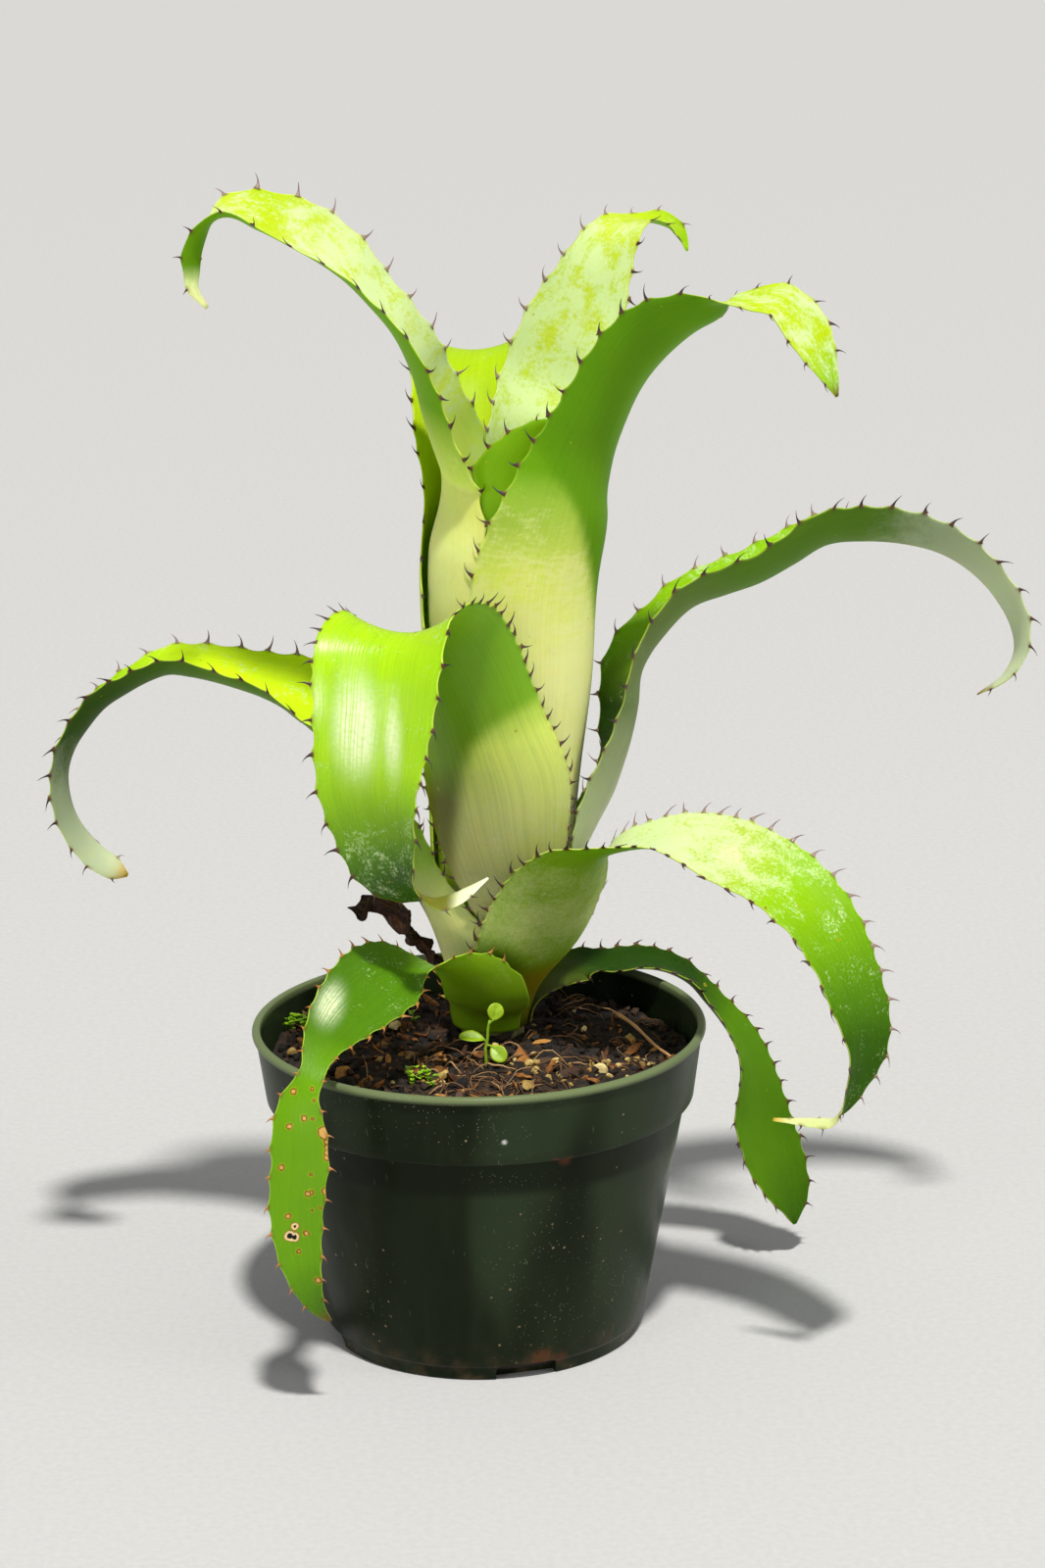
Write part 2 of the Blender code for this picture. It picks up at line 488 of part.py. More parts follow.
def lump(centre, size, turn, tilt, draw):
    """Points and faces of a chip: a box with uneven corners, turned and tilted."""
    points = []
    for x in (-0.5, 0.5):
        for y in (-0.5, 0.5):
            for z in (-0.5, 0.5):
                corner = Vector((x * size[0], y * size[1], z * size[2])) * draw.uniform(0.75, 1.1)
                corner = Vector((corner.x, corner.y * math.cos(tilt) - corner.z * math.sin(tilt),
                                 corner.y * math.sin(tilt) + corner.z * math.cos(tilt)))
                points.append((centre[0] + corner.x * math.cos(turn) - corner.y * math.sin(turn),
                               centre[1] + corner.x * math.sin(turn) + corner.y * math.cos(turn),
                               centre[2] + corner.z))
    quads = ((0, 1, 3, 2), (4, 6, 7, 5), (0, 4, 5, 1), (2, 3, 7, 6), (0, 2, 6, 4), (1, 5, 7, 3))
    return points, [half for a, b, c, d in quads for half in ((a, b, c), (a, c, d))]


def soil_height(x, y):
    """The soil's surface: level near the plant, dished towards the back right, with slow waves."""
    dish = SOIL_DISH * max(0.0, (x * 0.5 + y * 0.8) / RIM_RADIUS)
    return SOIL_LEVEL - dish + SOIL_LUMP * (math.sin(x / 9.0) * math.cos(y / 11.0) - 0.3)


def make_soil():
    draw = random.Random(7)
    stem_x, stem_y = interpolated(AXIS, SOIL_LEVEL)
    band_foot = POT_HEIGHT - BAND_HEIGHT
    edge = band_foot - SOIL_SHOULDER
    narrow = inner_radius(edge) - SEAT_GAP
    wide = BAND_FOOT_RADIUS - WALL - SEAT_GAP
    points = []
    faces = []
    rings = [(inner_radius(FLOOR) - SEAT_GAP, FLOOR + SEAT_GAP), (narrow, edge),
             (narrow, band_foot), (wide - SEAT_GAP, band_foot + SOIL_SHOULDER)]
    rings += [(radius, None) for radius in (wide, *reversed(SOIL_RINGS))]
    for radius, height in rings:
        for side in range(SOIL_SIDES):
            angle = 2 * math.pi * side / SOIL_SIDES
            x, y = radius * math.cos(angle), radius * math.sin(angle)
            z = height if height is not None else soil_height(x, y) + draw.uniform(-SOIL_ROUGH, SOIL_ROUGH)
            points.append((x, y, z))
    for ring in range(len(rings) - 1):
        for side in range(SOIL_SIDES):
            near = ring * SOIL_SIDES + side
            far = ring * SOIL_SIDES + (side + 1) % SOIL_SIDES
            faces.append((near, far, far + SOIL_SIDES))
            faces.append((near, far + SOIL_SIDES, near + SOIL_SIDES))
    bottom = len(points)
    points.append((0.0, 0.0, FLOOR + SEAT_GAP))
    points.append((0.0, 0.0, soil_height(0.0, 0.0)))
    last = (len(rings) - 1) * SOIL_SIDES
    for side in range(SOIL_SIDES):
        following = (side + 1) % SOIL_SIDES
        faces.append((bottom, following, side))
        faces.append((bottom + 1, last + side, last + following))
    soil = new_object("soil", points, faces, "soil", smooth=False)

    chips = []
    while len(chips) < CHIPS:
        angle = draw.uniform(0, 2 * math.pi)
        reach = RIM_RADIUS * math.sqrt(draw.uniform(CHIP_REACH[0] ** 2, CHIP_REACH[1] ** 2))
        x, y = reach * math.cos(angle), reach * math.sin(angle)
        from_stem = math.hypot(x - stem_x, y - stem_y)
        from_seedling = math.hypot(x - SEEDLING_FOOT[0], y - SEEDLING_FOOT[1])
        if from_stem < CHIP_FREE_STEM or from_seedling < CHIP_FREE_SEEDLING:
            continue
        size = [side * draw.uniform(*CHIP_SCALE) for side in CHIP_SIZE]
        chip_points, chip_faces = lump(
            (x, y, soil_height(x, y) + CHIP_PROUD), size,
            draw.uniform(0, math.pi), draw.uniform(-CHIP_TILT, CHIP_TILT), draw)
        chips.append(new_object(f"chip {len(chips)}", chip_points, chip_faces, "soil", smooth=False))
    combine(soil, chips, "UNION", "MANIFOLD")

    above = SOIL_LEVEL + CUTTER_OVER
    stem_hole = [(z, radius + SEAT_GAP) for z, radius in STEM_BURIED]
    stem_hole[0] = (STEM_FOOT - SEAT_GAP, STEM_FOOT_RADIUS + SEAT_GAP)
    stem_hole[-1] = (above, STEM_RADIUS + SEAT_GAP)
    seedling_radius = SEEDLING_STEM_RADIUS + SEAT_GAP
    seedling_hole = ((SOIL_LEVEL - SEEDLING_DEPTH - SEAT_GAP, seedling_radius), (above, seedling_radius))
    holes = [
        new_object("stem hole", *turned(stem_hole, STEM_SIDES, (stem_x, stem_y)), "soil"),
        new_object("seedling hole", *turned(seedling_hole, SEEDLING_SIDES, SEEDLING_FOOT), "soil"),
    ]
    combine(soil, holes, "DIFFERENCE", "MANIFOLD")


def sheath_radius(leaf, z):
    """Radius of the middle of a leaf's sheath at a height."""
    return interpolated(TUBE, z)[0] - SHELL_STEP * leaf["shell"]


def make_stem():
    """The core, stepped so that the foot of each leaf has its seat on it."""
    seats = {}
    for leaf in LEAVES.values():
        z = leaf["starts_at"]
        seat = sheath_radius(leaf, z) - LEAF_THICKNESS / 2 - SEAT_GAP
        seats[z] = min(seat, seats.get(z, seat))
    profile = [*STEM_BURIED, *sorted(seats.items()), (STEM_TOP, STEM_TOP_RADIUS)]
    points, faces = turned(profile, STEM_SIDES, tuple(interpolated(AXIS, SOIL_LEVEL)))
    new_object("stem", points, faces, "stem")


def smooth_rows(stations, places):
    """Rows read from a smooth curve through the stations.

    A place is a station's number plus the share of the way to the next one."""
    stations = np.array(stations)
    steps = np.linalg.norm(np.diff(stations[:, :3], axis=0), axis=1)
    slopes = np.gradient(stations, np.concatenate([[0.0], np.cumsum(steps)]), axis=0)
    rows = []
    for place in places:
        index = min(int(place), len(stations) - 2)
        share = place - index
        square = share ** 2
        cube = share ** 3
        rows.append((2 * cube - 3 * square + 1) * stations[index]
                    + (3 * square - 2 * cube) * stations[index + 1]
                    + (cube - 2 * square + share) * steps[index] * slopes[index]
                    + (cube - square) * steps[index] * slopes[index + 1])
    return np.array(rows)


def sheath_station(leaf, z):
    """Where the sheath's middle line is at a height, as a station whose section is level."""
    turn, spread = interpolated(leaf["sheath"], z) if "sheath" in leaf else (leaf["turn"], leaf["spread"])
    turn = math.radians(turn)
    x, y = interpolated(AXIS, z)
    radius = sheath_radius(leaf, z)
    width = radius * math.radians(spread)
    return [x + radius * math.cos(turn), y + radius * math.sin(turn), z, width, spread,
            -math.cos(turn), -math.sin(turn), 0.0, 0.0]


def leaf_sheet(leaf):
    """The middle surface of a leaf, as rows of points from one margin to the other, and how many
    of the rows belong to its sheath."""
    heights = [leaf["starts_at"]]
    heights += [z for z in SHEATH_LEVELS if leaf["starts_at"] + LEAST_STEP / 2 < z <= leaf["leaves_at"]]
    if leaf["leaves_at"] - heights[-1] > LEAST_STEP:
        heights.append(leaf["leaves_at"])
    stations = [sheath_station(leaf, z) for z in heights]
    for number, (x, y, z, width, spread, face) in enumerate(leaf["blade"]):
        freed = min(1.0, 0.5 + 0.5 * number)
        stations.append([x, y, z, width, spread, *Vector(face).normalized(), freed])
    places = list(range(len(heights)))
    for index in range(len(heights) - 1, len(stations) - 1):
        parts = max(1, round(math.dist(stations[index][:3], stations[index + 1][:3]) / ROW_STEP))
        places += [index + part / parts for part in range(1, parts + 1)]
    rows = smooth_rows(stations, places)
    sheet = []
    for row, tangent in zip(rows, np.gradient(rows[:, :3], axis=0)):
        middle = Vector(row[:3])
        freed = min(max(row[8], 0.0), 1.0)
        along = Vector((0, 0, 1)).lerp(Vector(tangent).normalized(), freed).normalized()
        face = Vector(row[5:8])
        face = (face - along * face.dot(along)).normalized()
        across = along.cross(face)
        half_angle = math.radians(row[4]) / 2
        radius = max(row[3], TIP_WIDTH) / (2 * half_angle)
        line = []
        for column in range(COLUMNS + 1):
            angle = half_angle * (2 * column / COLUMNS - 1)
            out = radius * math.sin(angle)
            up = radius * (1 - math.cos(angle))
            line.append(middle + across * out + face * up)
        sheet.append(line)
    return sheet, len(heights)


def sheet_normals(sheet):
    grid = np.array([[tuple(point) for point in line] for line in sheet])
    normals = np.cross(np.gradient(grid, axis=1), np.gradient(grid, axis=0))
    return normals / np.linalg.norm(normals, axis=2, keepdims=True)


class LeafSolid:
    """The points and faces of one leaf. Points come in pairs, one on the upper face and one under it,
    and both faces are cut into the same triangles."""

    def __init__(self, sheet):
        self.points = []
        self.faces = []
        normals = sheet_normals(sheet)
        for row, line in enumerate(sheet):
            for column, point in enumerate(line):
                half = Vector(normals[row, column]) * (LEAF_THICKNESS / 2)
                self.add_pair(point + half, point - half)

    def add_pair(self, above, below):
        self.points += [above, below]
        return len(self.points) // 2 - 1

    def pair_between(self, first, second, share):
        return self.add_pair(self.points[2 * first].lerp(self.points[2 * second], share),
                             self.points[2 * first + 1].lerp(self.points[2 * second + 1], share))

    def skin(self, a, b, c, turned_over=False):
        """A triangle of the upper face and the like one of the lower face."""
        if turned_over:
            b, c = c, b
        self.faces.append((2 * a, 2 * b, 2 * c))
        self.faces.append((2 * a + 1, 2 * c + 1, 2 * b + 1))

    def rim_corners(self, a, b, turned_over):
        corners = [2 * a, 2 * a + 1, 2 * b + 1, 2 * b]
        return corners[::-1] if turned_over else corners

    def wall(self, a, b, turned_over=False):
        """The thin edge between two neighbouring pairs."""
        corners = self.rim_corners(a, b, turned_over)
        self.faces.append((corners[0], corners[1], corners[2]))
        self.faces.append((corners[0], corners[2], corners[3]))

    def spine(self, a, b, inward, tipward, turned_over=False):
        """A spine in place of the edge between two pairs, leaning towards the leaf's tip."""
        corners = self.rim_corners(a, b, turned_over)
        foot = sum((self.points[corner] for corner in corners), Vector()) / 4
        apex = len(self.points)
        away = (foot - inward).normalized()
        tip = foot + away * SPINE_LENGTH + tipward * SPINE_LEAN
        self.add_pair(tip, tip)
        for first, second in zip(corners, corners[1:] + corners[:1]):
            self.faces.append((first, second, apex))

    def margin(self, start, end, inner_start, inner_end, spines, turned_over):
        """The outermost strip of the leaf between two rows, with its spines."""
        first, last = self.points[2 * start], self.points[2 * end]
        length = (last - first).length
        edge = [start]
        for number in range(spines):
            centre = (number + 0.5) / spines
            half = min(0.5 * SPINE_FOOT / length, MOST_FOOT_SHARE / spines)
            edge.append(self.pair_between(start, end, centre - half))
            edge.append(self.pair_between(start, end, centre + half))
        edge.append(end)
        bend = len(edge) // 2
        for near, far in zip(edge[:bend], edge[1:bend + 1]):
            self.skin(inner_start, near, far, turned_over)
        self.skin(inner_start, edge[bend], inner_end, turned_over)
        for near, far in zip(edge[bend:], edge[bend + 1:]):
            self.skin(inner_end, near, far, turned_over)
        inward = (self.points[2 * inner_start] + self.points[2 * inner_end + 1]) / 2
        tipward = (last - first).normalized()
        for number, (near, far) in enumerate(zip(edge, edge[1:])):
            if number % 2:
                self.spine(near, far, inward, tipward, turned_over)
            else:
                self.wall(near, far, turned_over)


def make_leaf(name, leaf):
    sheet, sheath_rows = leaf_sheet(leaf)
    solid = LeafSolid(sheet)
    across = COLUMNS + 1
    for row in range(len(sheet) - 1):
        start = row * across
        for column in range(1, COLUMNS - 1):
            near = start + column
            far = near + across
            solid.skin(near, near + 1, far + 1)
            solid.skin(near, far + 1, far)
        for column, inner in ((0, 1), (COLUMNS, COLUMNS - 1)):
            foot, head = sheet[row][column], sheet[row + 1][column]
            bare = leaf["spines_above"] is None
            bare = bare or row < sheath_rows - 1 and (foot.z + head.z) / 2 < leaf["spines_above"]
            spines = 0 if bare or row == len(sheet) - 2 else round((head - foot).length / SPINE_STEP)
            solid.margin(start + column, start + across + column, start + inner, start + across + inner,
                         spines, turned_over=column == 0)
    last = (len(sheet) - 1) * across
    for column in range(COLUMNS):
        solid.wall(column, column + 1)
        solid.wall(last + column, last + column + 1, turned_over=True)
    new_object(name, solid.points, solid.faces, leaf["colour"])


def round_leaf(name, centre, radius, anchor):
    """A small round leaf, its narrow end drawn out to the anchor on its stalk."""
    away = (centre - anchor).normalized()
    sideways = away.cross(Vector((0, 0, 1))).normalized()
    lift = sideways.cross(away).normalized() * (SEEDLING_LEAF_THICKNESS / 2)
    corners = ROUND_LEAF_CORNERS
    outline = []
    for corner in range(corners):
        angle = 2 * math.pi * corner / corners
        along = away * (radius * math.cos(angle))
        outline.append(centre + along + sideways * (ROUND_LEAF_BREADTH * radius * math.sin(angle)))
    outline[corners // 2] = anchor
    points = [point - lift for point in outline] + [point + lift for point in outline]
    faces = [tuple(range(corners)), tuple(reversed(range(corners, 2 * corners)))]
    for corner in range(corners):
        following = (corner + 1) % corners
        faces.append((following, corner, corner + corners, following + corners))
    leaf = new_object(name, points, faces, "seedling")
    mesh = bmesh.new()
    mesh.from_mesh(leaf.data)
    bmesh.ops.recalc_face_normals(mesh, faces=mesh.faces)
    mesh.to_mesh(leaf.data)
    mesh.free()
    return leaf


def make_seedling():
    sides = SEEDLING_SIDES
    bend = Vector((*SEEDLING_FOOT, SOIL_LEVEL + SEEDLING_STEM_BEND))
    top = Vector(SEEDLING_STEM_TOP)
    levels = (Vector((*SEEDLING_FOOT, SOIL_LEVEL - SEEDLING_DEPTH)), bend, top)
    points = []
    for level in levels:
        for side in range(sides):
            angle = 2 * math.pi * side / sides
            points.append(level + Vector((math.cos(angle), math.sin(angle), 0)) * SEEDLING_STEM_RADIUS)
    faces = [tuple(reversed(range(sides))), tuple(range(2 * sides, 3 * sides))]
    for ring in range(2):
        for side in range(sides):
            near = ring * sides + side
            far = ring * sides + (side + 1) % sides
            faces.append((near, far, far + sides, near + sides))
    seedling = new_object("seedling", points, faces, "seedling")
    leaves = []
    for number, (centre, radius) in enumerate(SEEDLING_LEAVES):
        share = min(1.0, max(0.0, 0.8 * (centre[2] - bend.z) / (top.z - bend.z)))
        leaves.append(round_leaf(f"seedling leaf {number}", Vector(centre), radius, bend.lerp(top, share)))
    combine(seedling, leaves, "UNION", "MANIFOLD")


clear_scene()
make_pot()
make_soil()
make_stem()
make_seedling()
for leaf_name, leaf_facts in LEAVES.items():
    make_leaf(leaf_name, leaf_facts)
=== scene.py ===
"""Looks for a bromeliad in a six-inch nursery pot: spiny strap leaves nested into a tube, over potting mix.

The leaves, pot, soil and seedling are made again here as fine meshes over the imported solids. Lengths in the
tables are millimetres, and new_piece turns them into metres. +Z is up, and +Y leads away from the front.
"""

import json
import math
import random

import bmesh
import bpy
import numpy as np
from mathutils import Matrix, Vector, noise

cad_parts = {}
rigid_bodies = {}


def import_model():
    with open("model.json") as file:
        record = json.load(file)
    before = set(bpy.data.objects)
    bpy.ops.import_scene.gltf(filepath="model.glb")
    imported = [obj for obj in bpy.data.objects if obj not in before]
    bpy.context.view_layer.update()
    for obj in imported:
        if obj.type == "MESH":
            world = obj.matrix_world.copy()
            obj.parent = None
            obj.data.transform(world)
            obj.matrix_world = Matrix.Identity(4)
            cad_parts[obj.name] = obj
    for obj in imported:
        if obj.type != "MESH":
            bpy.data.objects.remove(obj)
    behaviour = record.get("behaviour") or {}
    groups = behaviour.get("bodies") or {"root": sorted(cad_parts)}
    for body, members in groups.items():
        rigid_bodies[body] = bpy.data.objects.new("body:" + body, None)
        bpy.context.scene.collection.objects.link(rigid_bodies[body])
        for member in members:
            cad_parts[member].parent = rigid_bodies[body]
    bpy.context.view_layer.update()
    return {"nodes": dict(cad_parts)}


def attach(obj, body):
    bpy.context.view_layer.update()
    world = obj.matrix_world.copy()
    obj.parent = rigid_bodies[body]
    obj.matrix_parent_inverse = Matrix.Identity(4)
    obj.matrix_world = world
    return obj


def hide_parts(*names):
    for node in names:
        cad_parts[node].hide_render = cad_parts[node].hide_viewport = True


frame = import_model()
MM = 0.001
UP = Vector((0, 0, 1))

# Camera: its place in metres, its turns in degrees, and its focal length in pixels of the photograph
PHOTO_HEIGHT = 1600
CAMERA_PLACE = (0.0, -1.502, 0.630)
CAMERA_PITCH = 16.2
CAMERA_YAW = 0.61
CAMERA_ROLL = -0.89
FOCAL_PIXELS = 4741.0
SENSOR = 36.0

# Light: the key's direction, strength, spread in degrees and colour, the sky's strength, and the softboxes,
# each with its place and its size in metres and its power in watts
KEY_DIRECTION = (0.08, -0.38, 0.92)
KEY_STRENGTH = 3.9
KEY_SPREAD = 4.5
KEY_COLOUR = (1.0, 0.98, 0.94)
SKY_STRENGTH = 0.32
SOFTBOXES = (("right softbox", (1.4, -0.5, 0.7), (0.4, 1.2), 5.0),
             ("left softbox", (-1.0, -1.15, 0.34), (0.35, 0.6), 5.0))
SOFTBOX_TARGET = (0.0, 0.0, 0.2)

# Studio floor: the radii of its rings in metres
STUDIO_RINGS = (0.2, 0.5, 1.2, 3.0, 8.0)
STUDIO_SIDES = 48

# Pot
RIM_RADIUS = 77.5
POT_HEIGHT = 109.5
BAND_HEIGHT = 25.0
BAND_FOOT = POT_HEIGHT - BAND_HEIGHT
BAND_FOOT_RADIUS = 73.2
BODY_TOP_RADIUS = 70.6
BASE_RADIUS = 53.5
FOOT_HEIGHT = 5.0
WALL = 1.5
FLOOR = 2.2
LIP = 1.4
POT_SIDES = 144
NOTCHES = 4
NOTCH_WIDTH = 21.0
NOTCH_HEIGHT = 5.5
NOTCH_DEPTH = 5.0
NOTCH_ROUND = 2.0
NOTCH_TURN = -75.0
POT_BEND = (0.10, 0.22)
# Marks on the wall: the middle, the radius, and the colour
POT_STAINS = (
    ((7.6, -74.6, 93.0), 1.6, (0.62, 0.63, 0.58)), ((27.8, -66.0, 83.2), 3.4, (0.075, 0.028, 0.012)),
    ((24.0, -68.5, 84.0), 2.0, (0.075, 0.028, 0.012)), ((19.0, -51.5, 7.0), 6.5, (0.085, 0.032, 0.010)),
    ((25.0, -49.0, 6.0), 4.0, (0.06, 0.022, 0.008)))

# Soil
SOIL_LEVEL = 99.0
SOIL_DISH = 2.5
SOIL_LUMP = 1.3
SOIL_EDGE_RADIUS = 71.4
STEM_PLACE = (4.5, 24.0)
STEM_CLEAR = 12.5
STEM_HOLE_DEPTH = 12.0
SOIL_SIDES = 220
SOIL_RINGS = 60
CHIPS = 200
DARK_CRUMBS = 520
BARK_CRUMBS = 420
FRONT_PEBBLES = 34
SPREAD_PEBBLES = 46
LARGE_PEBBLES = ((-64.0, 0.5), (-28.9, 20.9), (16.9, -16.0), (40.6, -27.0), (15.6, -38.0), (52.0, 12.0),
                 (-12.0, -30.0))
ROCK_ROUGHNESS = 0.25
FIBRES = 150
FIBRE_PARTS = 9
FIBRE_LENGTH = (6, 21)
FIBRE_THICKNESS = (0.14, 0.40)
TWIG_START = (47.3, 16.0, 105.8)
TWIG_END = (65.2, -14.0, 100.3)
TWIG_PARTS = 12
EVEN = (1.0, 1.0, 1.0)
# The loose bits' materials: the colours by pattern, the grain's scale, the roughness, how the grain is
# stretched, and the depth of its relief in metres
GRAINS = {
    "bark chips": (((0.25, (0.020, 0.008, 0.003)), (0.45, (0.09, 0.032, 0.008)), (0.62, (0.30, 0.11, 0.018)),
                    (0.8, (0.55, 0.27, 0.055))), 420, 0.78, EVEN, 0.0004),
    "dark crumbs": (((0.25, (0.003, 0.002, 0.0015)), (0.5, (0.015, 0.008, 0.004)),
                     (0.75, (0.060, 0.030, 0.012))), 500, 0.9, EVEN, 0.0004),
    "pebbles": (((0.25, (0.20, 0.11, 0.025)), (0.5, (0.48, 0.32, 0.08)), (0.75, (0.75, 0.60, 0.26))),
                300, 0.65, EVEN, 0.0002),
    "roots": (((0.25, (0.05, 0.022, 0.008)), (0.5, (0.18, 0.08, 0.025)), (0.78, (0.50, 0.31, 0.14))),
              700, 0.75, EVEN, 0.0004),
    "twig wood": (((0.2, (0.30, 0.13, 0.045)), (0.5, (0.55, 0.28, 0.11)), (0.8, (0.68, 0.42, 0.20))),
                  900, 0.7, (1.0, 0.4, 1.0), 0.0004),
}

# Small plants: each moss patch has its middle, its radius and its number of leaves, and each seedling leaf
# its middle, its length and breadth, the way its tip points, and the way its breadth runs
MOSS_PATCHES = (((-64.0, 26.0), 4.5, 34), ((-21.5, -30.0), 5.0, 22), ((-23.2, 32.2), 2.0, 6),
                ((-16.5, -38.0), 2.5, 7))
MOSS_GREENS = ((0.12, 0.34, 0.004), (0.42, 0.66, 0.006))
SEEDLING_GREENS = ((0.16, 0.32, 0.004), (0.36, 0.52, 0.008))
SEEDLING_FOOT = (2.2, -15.0)
SEEDLING_TOP = (3.6, -13.5, 114.5)
SEEDLING_LEAVES = (
    ((5.4, -12.5, 117.0), 6.4, 5.8, (0.25, 0.25, 0.93), (0.96, 0.1, -0.28)),
    ((-2.6, -14.5, 108.6), 9.0, 5.6, (-0.98, -0.05, 0.14), (0.1, 0.88, 0.38)),
    ((6.2, -16.5, 103.6), 7.2, 5.8, (0.62, -0.45, -0.62), (0.78, 0.2, 0.6)),
)
DISC_RINGS = 5
DISC_SIDES = 16

# Tube: the middle line that all sheaths wrap round, and the radius of the outermost one by height
AXIS = ((98.0, 4.5, 24.0), (118.0, 4.5, 24.0), (140.0, 8.0, 23.0), (226.0, 12.5, 21.0), (320.0, 15.0, 19.0))
TUBE = ((98.0, 14.6), (105.0, 15.4), (122.0, 21.5), (140.0, 30.0), (165.0, 32.8), (195.0, 34.6),
        (226.0, 37.0), (260.0, 38.6), (290.0, 38.0), (330.0, 37.0))
SHEATH_LEVELS = (105.0, 113.0, 122.0, 140.0, 165.0, 195.0, 226.0, 260.0, 290.0)
SHELL_STEP = 1.35
LEAST_STEP = 6.0

# Leaf meshes
LEAF_THICKNESS = 0.7
EDGE_THICKNESS = 0.4
TIP_WIDTH = 0.5
# A blade narrower than this is thinner too, down to the given share
FULL_THICKNESS_WIDTH = 6.0
THINNEST = 0.35
COARSE_ROW = 4.0
FINE_ROW = 1.7
FINE_BELOW_SPINES = 12.0
COLUMNS = 26
EASING = 14
# Waves of the surface: their lengths, and the width from which they are at full height
SLOW_WAVE = 34
QUICK_WAVE = 13
WAVE_FULL_WIDTH = 22
SCALLOP_DEPTH = 1.8
SCALLOP_END = 8
SPINE_SIDES = 8
SPINE_RINGS = 9
SPINE_LENGTH = (4.4, 6.2)
SPINE_FOOT = (0.95, 1.3)
SPINE_SUNK = 0.14
SPINE_LEAN = (-12, 14)
SPINE_CURL = (35, 75)
SPINE_LIFT = (-0.05, 0.3)
# The first spine's distance along a margin, how the gaps vary, and the bare length at the tip
FIRST_SPINE = (1, 5)
GAP_CHANGE = (0.84, 1.18)
BARE_TIP = 5
# How far the brown of a spine spreads along the margin and into the blade
THORN_REACH = 1.5
THORN_DEPTH = 1.6
# The dried leaf is crumpled above a height, by waves of a size and a strength
DRIED_FROM = 118.0
CRUMPLES = ((7.5, 4.6), (2.6, 1.7))
DRIFT_OFFSETS = ((0.0, 0.0, 0.0), (31.4, 7.7, 2.3), (5.9, 47.2, 13.1))

